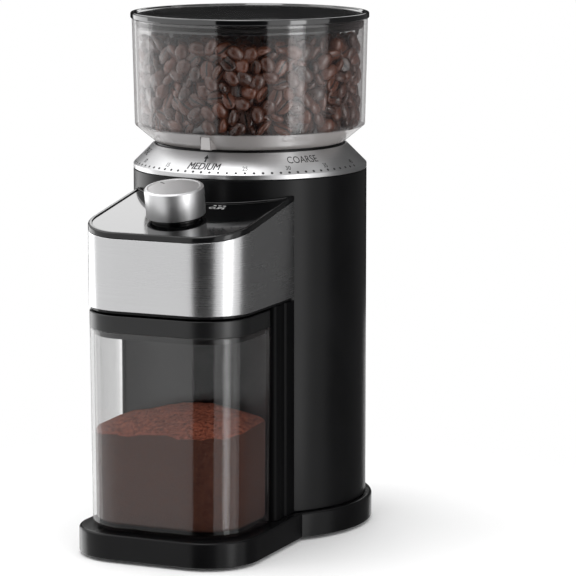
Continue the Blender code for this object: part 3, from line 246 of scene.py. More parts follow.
@dataclass(frozen=True)
class BrushedMetal:
    """Metal finished with fine abrasive lines, which drag highlights out across the lines."""

    name: str
    slot: str
    dark: str
    light: str
    rough_low: float
    rough_high: float
    way: Brushing
    line_mm: float = 0.35
    run_mm: float = 45.0
    depth_mm: float = 0.004
    anisotropic: float = 0.0

    def build(self) -> bpy.types.Material:
        """Return the material."""
        material, tree, shader = new_material(self.name)
        if self.way is Brushing.LEVEL:
            lines = object_noise(tree, (self.run_mm, self.run_mm, self.line_mm), 4.0)
        else:
            lines = self.turned_lines(tree)
        patch = object_noise(tree, (30.0, 30.0, 14.0), 2.0)
        tree.links.new(two_tone(tree, lines, self.dark, self.light, 0.25, 0.75), shader.inputs["Base Color"])
        rough = add_node(tree, "ShaderNodeMath", {"operation": "ADD"},
                         {0: spread(tree, lines, self.rough_low, self.rough_high),
                          1: spread(tree, patch, -0.015, 0.015)})
        tree.links.new(rough.outputs[0], shader.inputs["Roughness"])
        shader.inputs["Metallic"].default_value = 1.0
        shader.inputs["Anisotropic"].default_value = self.anisotropic
        bump(tree, shader, lines, self.depth_mm)
        return material

    def turned_lines(self, tree: bpy.types.NodeTree) -> bpy.types.NodeSocket:
        """Noise that depends on radius and height only, so its lines run round the piece's own axis.

        The piece's UV map holds the distance along the turned profile as V, in metres.
        """
        place = add_node(tree, "ShaderNodeUVMap", {"uv_map": "turning"})
        scale = (0.6, 1.0 / (self.line_mm * MM), 1.0)
        mapped = add_node(tree, "ShaderNodeMapping", {"Scale": scale}, {"Vector": place.outputs[0]})
        noise = add_node(tree, "ShaderNodeTexNoise", {"Scale": 1.0, "Detail": 3.0, "Roughness": 0.6},
                         {"Vector": mapped.outputs[0]})
        return noise.outputs[0]


@dataclass(frozen=True)
class CastMetal:
    """Plain machined or hardened metal inside the machine, with a faint tool mark and oil tone."""

    name: str
    slot: str
    dark: str
    light: str
    rough: float

    def build(self) -> bpy.types.Material:
        """Return the material."""
        material, tree, shader = new_material(self.name)
        patch = object_noise(tree, (9.0, 9.0, 9.0), 4.0)
        marks = object_noise(tree, (6.0, 6.0, 0.4), 2.0)
        tree.links.new(two_tone(tree, patch, self.dark, self.light), shader.inputs["Base Color"])
        tree.links.new(spread(tree, patch, self.rough - 0.06, self.rough + 0.06), shader.inputs["Roughness"])
        shader.inputs["Metallic"].default_value = 1.0
        bump(tree, shader, marks, 0.008)
        return material


@dataclass(frozen=True)
class SmokeClear:
    """Smoke-tinted SAN: a thin dark veil seen straight on, and a denser, glossier edge at a glance.

    Below a stated height the moulding is frosted on its inner side, so it reads as a silver band.
    """

    name: str
    slot: str
    tint: str
    edge_tint: str
    veil: float
    edge: float
    rough: float = 0.05
    frost_below: float = -1.0
    frost_tint: str = "#b7b2b0"
    frost_veil: float = 0.74

    def build(self) -> bpy.types.Material:
        """Return the material."""
        material, tree, shader = new_material(self.name)
        facing = add_node(tree, "ShaderNodeLayerWeight", {"Blend": 0.28})
        haze = object_noise(tree, (55.0, 55.0, 26.0), 2.0)
        place = add_node(tree, "ShaderNodeTexCoord")
        height = add_node(tree, "ShaderNodeSeparateXYZ", links={0: place.outputs["Object"]})
        frost = add_node(tree, "ShaderNodeMapRange",
                         {1: self.frost_below - 0.2 * MM, 2: self.frost_below + 0.2 * MM, 3: 1.0, 4: 0.0},
                         {0: height.outputs[2]})
        clear = two_tone(tree, facing.outputs["Facing"], self.tint, self.edge_tint, 0.25, 0.9)
        colour = add_node(tree, "ShaderNodeMix", {"data_type": "RGBA", 7: linear(self.frost_tint)},
                          {0: frost.outputs[0], 6: clear})
        tree.links.new(colour.outputs[2], shader.inputs["Base Color"])
        alpha = add_node(tree, "ShaderNodeMapRange", {1: 0.05, 2: 0.95, 3: self.veil, 4: self.edge},
                         {0: facing.outputs["Facing"]})
        cover = add_node(tree, "ShaderNodeMix", {"data_type": "FLOAT", 3: self.frost_veil},
                         {0: frost.outputs[0], 2: alpha.outputs[0]})
        tree.links.new(cover.outputs[0], shader.inputs["Alpha"])
        tree.links.new(spread(tree, haze, self.rough, self.rough + 0.05), shader.inputs["Roughness"])
        # The shader's alpha thins its reflections too, so the index is set high to bring them back.
        shader.inputs["IOR"].default_value = 2.3
        shader.inputs["Specular IOR Level"].default_value = 1.0
        return material


@dataclass(frozen=True)
class PrintedInk:
    """Pad-printed ink: thin, slightly matt, with a faint unevenness where it was pressed on."""

    name: str
    slot: str
    dark: str
    light: str

    def build(self) -> bpy.types.Material:
        """Return the material."""
        material, tree, shader = new_material(self.name)
        patch = object_noise(tree, (0.9, 0.9, 0.9), 2.0)
        tree.links.new(two_tone(tree, patch, self.dark, self.light), shader.inputs["Base Color"])
        tree.links.new(spread(tree, patch, 0.42, 0.55), shader.inputs["Roughness"])
        return material


@dataclass(frozen=True)
class RoastedBean:
    """Dark-roasted coffee: brown, mottled, with a film of its own oil, and painted shade darkening its crease."""

    name: str
    slot: str

    def crease(self, tree: bpy.types.NodeTree) -> bpy.types.NodeSocket:
        """A line along the flat side: where V is near 0.75, bent into a shallow S along U. It shapes the crease's
        bump and paints its shade dark.
        """
        place = add_node(tree, "ShaderNodeUVMap", {"uv_map": "bean"})
        split = add_node(tree, "ShaderNodeSeparateXYZ", links={0: place.outputs[0]})
        wave = add_node(tree, "ShaderNodeMath", {"operation": "MULTIPLY", 1: 2 * math.pi},
                        {0: split.outputs[0]})
        bend = add_node(tree, "ShaderNodeMath", {"operation": "SINE"}, {0: wave.outputs[0]})
        middle = add_node(tree, "ShaderNodeMath", {"operation": "MULTIPLY_ADD", 1: 0.022, 2: 0.75},
                          {0: bend.outputs[0]})
        away = add_node(tree, "ShaderNodeMath", {"operation": "SUBTRACT"},
                        {0: split.outputs[1], 1: middle.outputs[0]})
        size = add_node(tree, "ShaderNodeMath", {"operation": "ABSOLUTE"}, {0: away.outputs[0]})
        return spread(tree, size.outputs[0], 0.0, 1.0, 0.008, 0.03)

    def build(self) -> bpy.types.Material:
        """Return the material; the beans' own attribute 'roast' shifts each bean's tone."""
        material, tree, shader = new_material(self.name)
        roast = add_node(tree, "ShaderNodeAttribute", {"attribute_name": "roast"})
        mottle = object_noise(tree, (1.6, 1.6, 1.6), 3.0)
        crease = self.crease(tree)
        tone = add_node(tree, "ShaderNodeMath", {"operation": "MULTIPLY_ADD", 1: 0.55},
                        {0: mottle, 2: roast.outputs["Fac"]})
        # Painted shade: along the crease the tone drops to the darkest brown.
        crease_shaded_tone = add_node(tree, "ShaderNodeMath", {"operation": "MULTIPLY"}, {0: tone.outputs[0], 1: crease})
        tree.links.new(two_tone(tree, crease_shaded_tone.outputs[0], "#0d0604", "#6e3c27", 0.05, 1.2),
                       shader.inputs["Base Color"])
        tree.links.new(spread(tree, mottle, 0.24, 0.40), shader.inputs["Roughness"])
        shader.inputs["Coat Weight"].default_value = 0.9
        shader.inputs["Coat Roughness"].default_value = 0.16
        bump(tree, shader, crease, 0.5)
        return material


@dataclass(frozen=True)
class GroundCoffee:
    """Medium-ground coffee: matt red-brown grains, pressed flat and darker along the wall."""

    name: str
    slot: str
    grain_mm: float = 0.9

    def build(self) -> bpy.types.Material:
        """Return the material; the heap's own attribute 'pressed' is 1 along the wall."""
        material, tree, shader = new_material(self.name)
        place = add_node(tree, "ShaderNodeTexCoord")
        pressed = add_node(tree, "ShaderNodeAttribute", {"attribute_name": "pressed"})
        cells = add_node(tree, "ShaderNodeTexVoronoi", {"Scale": 1.0 / (self.grain_mm * MM)},
                         {"Vector": place.outputs["Object"]})
        lumps = object_noise(tree, (3.2, 3.2, 3.2), 4.0)
        tone = add_node(tree, "ShaderNodeMath", {"operation": "MULTIPLY_ADD", 1: 0.6},
                        {0: cells.outputs["Color"], 2: lumps})
        loose = two_tone(tree, tone.outputs[0], "#4a2417", "#985440", 0.45, 1.05)
        flat = two_tone(tree, tone.outputs[0], "#361c13", "#48281c", 0.45, 1.05)
        colour = add_node(tree, "ShaderNodeMix", {"data_type": "RGBA"},
                          {0: pressed.outputs["Fac"], 6: loose, 7: flat})
        tree.links.new(colour.outputs[2], shader.inputs["Base Color"])
        shader.inputs["Roughness"].default_value = 0.85
        shader.inputs["Specular IOR Level"].default_value = 0.2
        bump(tree, shader, tone.outputs[0], 0.45)
        return material


# Black ABS, injection moulded: satin on the big shells, so that they show broad soft bands, and
# smoother on trims, panel and lid, which mirror the room sharply. The moulds' fine texture is
# drawn at 0.5 mm, coarser than the real one, and is left almost flat on the glossy pieces.
BLACK_SATIN = MouldedPlastic("abs_satin_black", "body_black", "#080809", "#0d0d0e", 0.27, 0.33)
BLACK_BASE = MouldedPlastic("abs_base_black", "body_black", "#080809", "#0d0d0e", 0.20, 0.27)
BLACK_TRIM = MouldedPlastic("abs_trim_black", "body_black", "#09090a", "#0d0d0e", 0.15, 0.20, 4.0, 0.002,
                            sheen_level=0.4)
BLACK_GLOSS = MouldedPlastic("abs_gloss_black", "gloss_black", "#060607", "#09090a", 0.05, 0.09, 6.0, 0.002,
                             1.6, 0.5)
# The spine is the shells' body black drawn darker and less glossy: painted shade for its place deep under the
# overhanging head.
BLACK_SPINE_SHADED = MouldedPlastic("abs_spine_black_shaded", "body_black", "#060607", "#0a0a0b", 0.32, 0.40,
                             sheen_level=0.05)
BLACK_CAP = MouldedPlastic("abs_cap_black", "body_black", "#09090a", "#0d0d0e", 0.28, 0.34, 4.0, 0.002,
                           sheen_level=0.45)
BLACK_LID = MouldedPlastic("abs_lid_gloss", "gloss_black", "#050506", "#08080a", 0.06, 0.10, 6.0, 0.002,
                           1.6, 0.85)
# Inner pieces: glass-filled nylon and acetal are dull and even, rubber and ferrite are matt and
# dark, and the circuit board has a green lacquer.
GREY_NYLON = MouldedPlastic("nylon_grey", "grey_plastic", "#2c2c2e", "#38383a", 0.48, 0.60, 0.8, 0.02)
ACETAL = MouldedPlastic("acetal_natural", "white_plastic", "#cfcbc0", "#dcd8cd", 0.38, 0.5, 0.8, 0.01)
RUBBER = MouldedPlastic("rubber_black", "rubber", "#121212", "#1a1a1a", 0.75, 0.9, 0.6, 0.03)
FERRITE = MouldedPlastic("ferrite_grey", "magnet", "#2a2a2c", "#353538", 0.55, 0.7, 0.7, 0.02)
EPOXY_BOARD = MouldedPlastic("board_epoxy", "board_green", "#0d3a20", "#13502c", 0.35, 0.5, 1.2, 0.01)
# Stainless steel brushed lengthways, and aluminium turned on a lathe: bright metal whose lines
# soften every highlight. The lines are finer than can be seen, and are drawn 0.16 to 0.2 mm wide.
STAINLESS = BrushedMetal("stainless_brushed", "brushed_steel", "#c4c4c5", "#cacacb", 0.252, 0.275,
                         Brushing.LEVEL, line_mm=0.16, run_mm=30.0, depth_mm=0.0001)
RING_METAL = BrushedMetal("aluminium_turned_ring", "scale_aluminium", "#c2c2c3", "#cfcfd0", 0.30, 0.36,
                          Brushing.TURNED, line_mm=0.2, depth_mm=0.001)
KNOB_METAL = BrushedMetal("aluminium_turned_knob", "knob_aluminium", "#d6d6d7", "#e2e2e3", 0.34, 0.42,
                          Brushing.TURNED, line_mm=0.2, depth_mm=0.001)
# Hardened steel of burrs, shaft and gears, and brass of the bearings: grey or warm, half glossy.
HARD_STEEL = CastMetal("steel_hardened", "dark_steel", "#6d6d70", "#8a8a8d", 0.34)
BRASS = CastMetal("brass_machined", "brass", "#b08d4a", "#c9a45c", 0.30)
# Smoke-tinted SAN, injection moulded with polished walls: see-through, with strong reflections.
# The hopper's frosting ends where its straight wall starts, this far above its lowest point.
FROST_UP = 33.2 * MM
HOPPER_CLEAR = SmokeClear("san_hopper", "smoke_clear", "#3b3535", "#8f8686", 0.085, 0.58,
                          frost_below=span("hopper")[0].z + FROST_UP)
BIN_CLEAR = SmokeClear("san_bin", "smoke_clear", "#141111", "#4c4445", 0.070, 0.55)
# Pad-printed inks, and the coffee.
BLACK_INK = PrintedInk("ink_black", "body_black", "#0c0c0e", "#18181a")
WHITE_INK = PrintedInk("ink_white", "white_plastic", "#cfcfcf", "#e6e6e6")
BEAN = RoastedBean("coffee_roasted", "body_black")
GROUNDS = GroundCoffee("coffee_ground", "body_black")
Finish = (MouldedPlastic | BrushedMetal | CastMetal | SmokeClear | PrintedInk | RoastedBean | GroundCoffee)
MADE: dict[str, bpy.types.Material] = {}


def material_of(finish: Finish) -> bpy.types.Material:
    """Return a finish's material, built once."""
    if finish.name not in MADE:
        MADE[finish.name] = finish.build()
    return MADE[finish.name]


# ---------------------------------------------------------------- surfaces

@dataclass
class Surface:
    """Points and faces of a closed surface, with V distances for turned finishes."""

    points: np.ndarray
    faces: list = field(default_factory=list)
    along: np.ndarray | None = None


def fillet(corners: Sequence[tuple[float, float, float]], closed: bool, steps: int = 4) -> np.ndarray:
    """Round a polyline's corners.

    At a corner with interior angle t, the arc of radius r starts r / tan(t / 2) from it on
    both sides, and its centre is r / sin(t / 2) away on the bisector. Directions from the
    centre are blended from one tangent point to the other and set back to length r.

    Args:
        corners: (a, b, radius) for each corner.
        closed: whether the last corner joins the first.
        steps: arc segments at each rounded corner.

    Returns:
        The rounded line's points.
    """
    flat = np.array([(a, b) for a, b, _ in corners], float)
    out: list[np.ndarray] = []
    count = len(corners)
    for i, (_, _, radius) in enumerate(corners):
        ends = not closed and i in (0, count - 1)
        if radius <= 0 or ends:
            out.append(flat[i:i + 1])
            continue
        to_last = flat[i - 1] - flat[i]
        to_next = flat[(i + 1) % count] - flat[i]
        reach = 0.49 * min(np.linalg.norm(to_last), np.linalg.norm(to_next))
        to_last /= np.linalg.norm(to_last)
        to_next /= np.linalg.norm(to_next)
        half = math.acos(float(np.clip(to_last @ to_next, -1, 1))) / 2
        if half > 1.55:
            out.append(flat[i:i + 1])
            continue
        back = min(radius / math.tan(half), reach)
        radius = back * math.tan(half)
        middle = to_last + to_next
        centre = flat[i] + middle / np.linalg.norm(middle) * radius / math.sin(half)
        share = np.linspace(0, 1, steps + 1)[:, None]
        first, last = flat[i] + to_last * back - centre, flat[i] + to_next * back - centre
        way = first * (1 - share) + last * share
        out.append(centre + way / np.linalg.norm(way, axis=1, keepdims=True) * radius)
    return np.vstack(out)


def quads(rows: int, columns: int, wrap_rows: bool, wrap_columns: bool) -> np.ndarray:
    """Return the quads of a grid of rows by columns points, wrapped where it closes on itself."""
    r = np.arange(rows if wrap_rows else rows - 1)
    c = np.arange(columns if wrap_columns else columns - 1)
    here, along = np.meshgrid(r, c, indexing="ij")
    after = (here + 1) % rows
    aside = (along + 1) % columns
    corners = [here * columns + along, here * columns + aside,
               after * columns + aside, after * columns + along]
    return np.stack(corners, axis=-1).reshape(-1, 4)


def turn(profile: np.ndarray, segments: int = 160) -> Surface:
    """Turn a profile of (radius, height) about the upright axis.

    A point is (r sin p, -r cos p, z) for the angle p round the axis. A profile that starts
    and ends on the axis is open and its ends become poles; any other is a closed ring.

    Args:
        profile: the rounded profile.
        segments: facets round the axis.

    Returns:
        The turned surface.
    """
    angles = np.linspace(0, 2 * np.pi, segments, endpoint=False)
    on_axis = profile[0, 0] < 1e-9 and profile[-1, 0] < 1e-9
    rings = profile[1:-1] if on_axis else profile
    steps = np.linalg.norm(np.diff(profile, axis=0), axis=1)
    along = np.concatenate([[0.0], np.cumsum(steps)])
    radius = rings[:, 0:1]
    grid = np.stack([radius * np.sin(angles), -radius * np.cos(angles),
                     np.repeat(rings[:, 1:2], segments, axis=1)], axis=-1)
    points = grid.reshape(-1, 3)
    faces = quads(len(rings), segments, not on_axis, True).tolist()
    distance = np.repeat(along[1:-1] if on_axis else along, segments)
    if on_axis:
        first, last = len(points), len(points) + 1
        points = np.vstack([points, [[0, 0, profile[0, 1]], [0, 0, profile[-1, 1]]]])
        distance = np.concatenate([distance, [along[0], along[-1]]])
        ring = np.arange(segments)
        after = (ring + 1) % segments
        base = (len(rings) - 1) * segments
        faces += np.stack([np.full(segments, first), after, ring], axis=-1).tolist()
        faces += np.stack([np.full(segments, last), base + ring, base + after], axis=-1).tolist()
    return Surface(points, faces, distance)


def loft(stations: Sequence[np.ndarray], closed: bool) -> Surface:
    """Join outlines of equal length into a closed surface.

    Args:
        stations: one (count, 3) array of points for each outline, in order.
        closed: whether the last outline joins the first; otherwise both ends are capped.

    Returns:
        The lofted surface.
    """
    count = len(stations[0])
    faces = quads(len(stations), count, closed, True).tolist()
    if not closed:
        faces.append(list(range(count))[::-1])
        last = (len(stations) - 1) * count
        faces.append(list(range(last, last + count)))
    return Surface(np.vstack(stations), faces)


def sweep_open(stations: Sequence[np.ndarray]) -> Surface:
    """Carry a closed section along an open path: each station is one line along the path.

    Args:
        stations: (count, 3) arrays, one for each point of the section, in section order.

    Returns:
        The swept surface with its two ends capped.
    """
    count = len(stations[0])
    faces = quads(len(stations), count, True, False).tolist()
    starts = [i * count for i in range(len(stations))]
    faces.append(starts)
    faces.append([s + count - 1 for s in starts][::-1])
    return Surface(np.vstack(stations), faces)


def signed_volume(surface: Surface) -> float:
    """Return the volume inside a closed surface: a sixth of the sum of p0 . (p1 x p2) over its triangles."""
    total = 0.0
    for size in sorted({len(face) for face in surface.faces}):
        chosen = np.array([face for face in surface.faces if len(face) == size])
        anchor = surface.points[chosen[:, 0]]
        for i in range(1, size - 1):
            a, b = surface.points[chosen[:, i]], surface.points[chosen[:, i + 1]]
            total += float(np.einsum("ij,ij->i", anchor, np.cross(a, b)).sum())
    return total / 6


def outward(surface: Surface) -> Surface:
    """Return a closed surface with its faces turned to point outwards."""
    if signed_volume(surface) > 0:
        return surface
    return Surface(surface.points, [face[::-1] for face in surface.faces], surface.along)


def lifted(flat: np.ndarray, height: float | np.ndarray) -> np.ndarray:
    """Return plan points at a height."""
    return np.column_stack([flat, np.broadcast_to(height, len(flat))])


def place_piece(name: str, surface: Surface, finish: Finish, body: str, replaces: Sequence[str] = (),
                crisp: float = 32.0) -> bpy.types.Object:
    """Put a surface into the scene as a piece of the object.

    Args:
        name: the piece's name.
        surface: its points, measured from the burr axis, and faces.
        finish: what it is made of.
        body: the CAD body that it rides on.
        replaces: the CAD nodes that it stands for.
        crisp: the angle in degrees past which an edge stays sharp.

    Returns:
        The new object.
    """
    faces = surface.faces
    if signed_volume(surface) < 0:
        faces = [face[::-1] for face in faces]
    mesh = bpy.data.meshes.new(name)
    mesh.from_pydata(surface.points + np.array([0.0, AXIS_Y, 0.0]), [], faces)
    mesh.validate()
    mesh.shade_smooth()
    mesh.set_sharp_from_angle(angle=math.radians(crisp))
    if surface.along is not None:
        turning = mesh.uv_layers.new(name="turning")
        corner = np.zeros(len(mesh.loops), np.int32)
        mesh.loops.foreach_get("vertex_index", corner)
        around = np.arctan2(surface.points[:, 0], -surface.points[:, 1])
        values = np.column_stack([around, surface.along])[corner]
        turning.data.foreach_set("uv", values.astype(np.float32).ravel())
    piece = bpy.data.objects.new(name, mesh)
    bpy.context.scene.collection.objects.link(piece)
    mesh.materials.append(material_of(finish))
    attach(piece, body)
    if replaces:
        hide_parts(*replaces)
    LOG.info("%s: %d points on %s", name, len(surface.points), body)
    return piece


def merge(surfaces: Sequence[Surface]) -> Surface:
    """Put several closed surfaces into one."""
    points, faces, start = [], [], 0
    for surface in surfaces:
        points.append(surface.points)
        faces += [[i + start for i in face] for face in surface.faces]
        start += len(surface.points)
    return Surface(np.vstack(points), faces)


def letters(text: str, size: float, thick: float, narrow: float = 1.0, slant: float = 0.0) -> Surface:
    """Return flat, thin, centred letters as a surface, drawn with the built-in font.

    Args:
        text: the word or number.
        size: the letters' size in metres.
        thick: half the print's thickness.
        narrow: the share to which their width is drawn in.
        slant: how far they lean.

    Returns:
        The letters' points, flat on X and Y, and faces.
    """
    curve = bpy.data.curves.new("letters", "FONT")
    curve.body = text
    curve.size = size
    curve.shear = slant
    curve.align_x = "CENTER"
    curve.extrude = thick
    curve.resolution_u = 3
    holder = bpy.data.objects.new("letters", curve)
    bpy.context.scene.collection.objects.link(holder)
    graph = bpy.context.evaluated_depsgraph_get()
    mesh = bpy.data.meshes.new_from_object(holder.evaluated_get(graph))
    points = np.zeros(len(mesh.vertices) * 3, np.float32)
    mesh.vertices.foreach_get("co", points)
    faces = [list(face.vertices) for face in mesh.polygons]
    bpy.data.objects.remove(holder, do_unlink=True)
    bpy.data.meshes.remove(mesh)
    return Surface(points.reshape(-1, 3).astype(float) * np.array([narrow, 1.0, 1.0]), faces)


# ---------------------------------------------------------------- plan outlines

def arc(x: float, y: float, radius: float, start: float, end: float, steps: int) -> np.ndarray:
    """Points on an arc, ends included: (x + r cos a, y + r sin a), with angles in degrees."""
    angles = np.radians(np.linspace(start, end, steps + 1))
    return np.column_stack([x + radius * np.cos(angles), y + radius * np.sin(angles)])


def circle(radius: float, sides: int) -> np.ndarray:
    """Points round a whole circle, each once, starting on the x axis."""
    return arc(0, 0, radius, 0, 360 - 360 / sides, sides - 1)


def nose(half_w: float, front: float, corner: float, steps: int = 18) -> np.ndarray:
    """The front of a plan outline, left to right: two round corners joined by a straight."""
    left = arc(-half_w + corner, -front + corner, corner, 180, 270, steps)
    right = arc(half_w - corner, -front + corner, corner, 270, 360, steps)
    middle = np.linspace(left[-1], right[0], 8)[1:-1]
    return np.vstack([left, middle, right])


@dataclass(frozen=True)
class Plan:
    """The machine's plan: one nose and one round column, from which each outline is offset."""

    column_r: float
    head_half_w: float
    head_front: float
    head_corner: float = 28.6 * MM
    base_half_w: float = 55.6 * MM
    base_front: float = 143.4 * MM
    base_corner: float = 31.6 * MM
    base_rear_r: float = 73.8 * MM
    slope: float = math.radians(9.86)

    def keyhole(self, inset: float) -> np.ndarray:
        """The base outline, moved in by inset: the rear circle meets the nose's straight sides."""
        radius = self.base_rear_r - inset
        half_w = self.base_half_w - inset
        meet = math.degrees(math.asin(half_w / radius))
        rear = arc(0, 0, radius, -90 + meet, 270 - meet, 110)
        return np.vstack([rear, nose(half_w, self.base_front - inset, self.base_corner - inset)])

    def saddle(self, inset: float, rear_gap: float = GAP) -> np.ndarray:
        """The head outline, moved in by inset: the nose, and a hollow rear along the column."""
        half_w = self.head_half_w - inset
        radius = self.column_r + rear_gap + max(inset, 0.0)
        meet = math.degrees(math.asin(half_w / radius))
        rear = arc(0, 0, radius, -90 + meet, -90 - meet, 40)
        return np.vstack([nose(half_w, self.head_front - inset, self.head_corner - inset), rear])

    def lean(self, flat: np.ndarray) -> np.ndarray:
        """How far the head's sloped top has risen above its front edge at each plan point."""
        return (self.head_front + flat[:, 1]) * math.tan(self.slope)


def read_plan() -> Plan:
    """Return the plan with its main sizes measured on the CAD nodes."""
    column_low, column_high = span("column_shell")
    band_low, band_high = span("steel_band")
    base_low, _ = span("base_plate")
    return Plan((column_high.x - column_low.x) / 2, band_high.x, -band_low.y, base_front=-base_low.y)


PLAN = read_plan()


def squarish(around: np.ndarray, centre: tuple[float, float], half_x: float, half_y: float) -> np.ndarray:
    """A round-cornered rectangle with one point towards each given point.

    For the direction a from the centre, its radius is (|cos a / hx|^8 + |sin a / hy|^8)^(-1/8).

    Args:
        around: the plan points that give the directions.
        centre: the rectangle's centre.
        half_x: half its width.
        half_y: half its depth.

    Returns:
        As many points as around has.
    """
    angle = np.arctan2(around[:, 1] - centre[1], around[:, 0] - centre[0])
    power = 8
    across, deep = np.abs(np.cos(angle) / half_x), np.abs(np.sin(angle) / half_y)
    radius = (across ** power + deep ** power) ** (-1 / power)
    return np.column_stack([centre[0] + radius * np.cos(angle), centre[1] + radius * np.sin(angle)])


# ---------------------------------------------------------------- sub-assemblies

@dataclass
class Base:
    """The heavy foot: a satin tray with a softly rounded edge, and four rubber feet."""

    edge: float = 1.8 * MM
    foot_edge: float = 0.5 * MM
    wall: float = 3.0 * MM
    foot_edge_r: float = 0.6 * MM
    deck_in: float = 12 * MM
    dish: tuple[float, float] = (0.72, 0.6)
    dish_h: float = 0.5 * MM

    def tray(self) -> None:
        """The tray: outlines offset in and lifted along a rounded profile, capped above and below."""
        low, _ = span("base_plate")
        deck = span("column_shell")[0].z - GAP
        profile = fillet([(self.deck_in, deck, 0), (0, deck, self.edge), (0, low.z, self.foot_edge),
                          (self.wall, low.z, 0), (self.wall, deck - self.wall, 0)], False, 6)
        stations = [lifted(PLAN.keyhole(inset), z) for inset, z in profile]
        place_piece("base_tray", loft(stations, False), BLACK_BASE, "chassis", ["base_plate"])

    def feet(self) -> None:
        """Four turned rubber feet with a shallow dish underneath."""
        for corner in ("front_left", "front_right", "rear_left", "rear_right"):
            low, high = span(f"foot_{corner}")
            radius = (high.x - low.x) / 2
            edge = self.foot_edge_r
            dish_out, dish_in = (radius * share for share in self.dish)
            profile = fillet([(0, high.z, 0), (radius, high.z, edge), (radius, 0, edge), (dish_out, 0, edge),
                              (dish_in, self.dish_h, edge), (0, self.dish_h, 0)], False)
            shape = turn(profile, 48)
            middle = (low + high) / 2
            shape.points = shape.points + np.array([middle.x, middle.y, 0.0])
            shape.along = None
            place_piece(f"rubber_foot_{corner}", shape, RUBBER, "chassis", [f"foot_{corner}"])

    def build(self) -> None:
        """Make every piece of the base."""
        self.tray()
        self.feet()


@dataclass
class Column:
    """The round body, the spine behind the bin and the printed scale ring on top."""

    wall: float = 2.5 * MM
    edge: float = 0.5 * MM
    spine_wall: float = 2.2 * MM
    spine_corner: float = 4.0 * MM
    groove_depth: float = 1.2 * MM
    groove_w: float = 7.0 * MM
    groove_set: float = 7.5 * MM
    groove_edge: float = 0.6 * MM
    inner_corner: float = 1.8 * MM
    lip: float = 2.7 * MM
    ring_wall: float = 2.6 * MM
    ring_land: float = 1.2 * MM

    def shell(self) -> None:
        """The column's tube."""
        low, high = span("column_shell")
        inner = PLAN.column_r - self.wall
        profile = fillet([(PLAN.column_r, high.z, self.edge), (PLAN.column_r, low.z, self.edge),
                          (inner, low.z, 0), (inner, high.z, 0)], True)
        place_piece("column_tube", turn(profile), BLACK_SATIN, "chassis", ["column_shell"])

    def spine(self) -> None:
        """The flat-fronted panel: one plan outline drawn straight up."""
        low, high = span("spine_panel")
        half_w, front = high.x, -low.y
        inner_w = half_w - self.spine_wall
        end_out = math.sqrt((PLAN.column_r + GAP) ** 2 - half_w ** 2)
        end_in = math.sqrt((PLAN.column_r + GAP) ** 2 - inner_w ** 2)
        groove_y = -front + self.groove_set
        sunk = half_w - self.groove_depth
        edge = self.groove_edge
        side = [(half_w, groove_y, edge), (sunk, groove_y + self.groove_depth, edge),
                (sunk, groove_y + self.groove_w, edge),
                (half_w, groove_y + self.groove_w + self.groove_depth, edge),
                (half_w, -end_out, 0), (inner_w, -end_in, 0)]
        inside = [(inner_w, -front + self.spine_wall, self.inner_corner), (0, -front + self.spine_wall, 0)]
        outline = [(0, -front, 0), (half_w, -front, self.spine_corner)] + side + inside
        half = fillet(outline, False, 6)
        flat = np.vstack([half, half[::-1][1:-1] * np.array([-1.0, 1.0])])
        stations = [lifted(flat, z) for z in (low.z, high.z)]
        # Its finish is the darker, duller copy of body black that paints the shade under the head.
        place_piece("spine_cover", loft(stations, False), BLACK_SPINE_SHADED, "chassis", ["spine_panel"])

    def scale_ring(self) -> tuple[float, float, float, float]:
        """The aluminium ring; returns its cone's lower radius and height and upper radius and height."""
        low, high = span("scale_ring")
        top_r = PLAN.column_r - (high.z - low.z - self.lip)
        lip_z = low.z + self.lip
        inner = PLAN.column_r - self.ring_wall
        bore = top_r - self.ring_land
        profile = fillet([(top_r, high.z, EDGE_SOFT), (PLAN.column_r, lip_z, EDGE_SOFT),
                          (PLAN.column_r, low.z, EDGE_SMALL), (inner, low.z, 0),
                          (inner, lip_z - EDGE_DEEP, 0), (bore, high.z - self.ring_wall, 0),
                          (bore, high.z, EDGE_FINE)], True)
        place_piece("grind_scale_ring", turn(profile, 200), RING_METAL, "chassis", ["scale_ring"], 24)
        return PLAN.column_r, lip_z, top_r, high.z

    def build(self) -> tuple[float, float, float, float]:
        """Make the column's pieces and return the scale cone's measures."""
        self.shell()
        self.spine()
        return self.scale_ring()


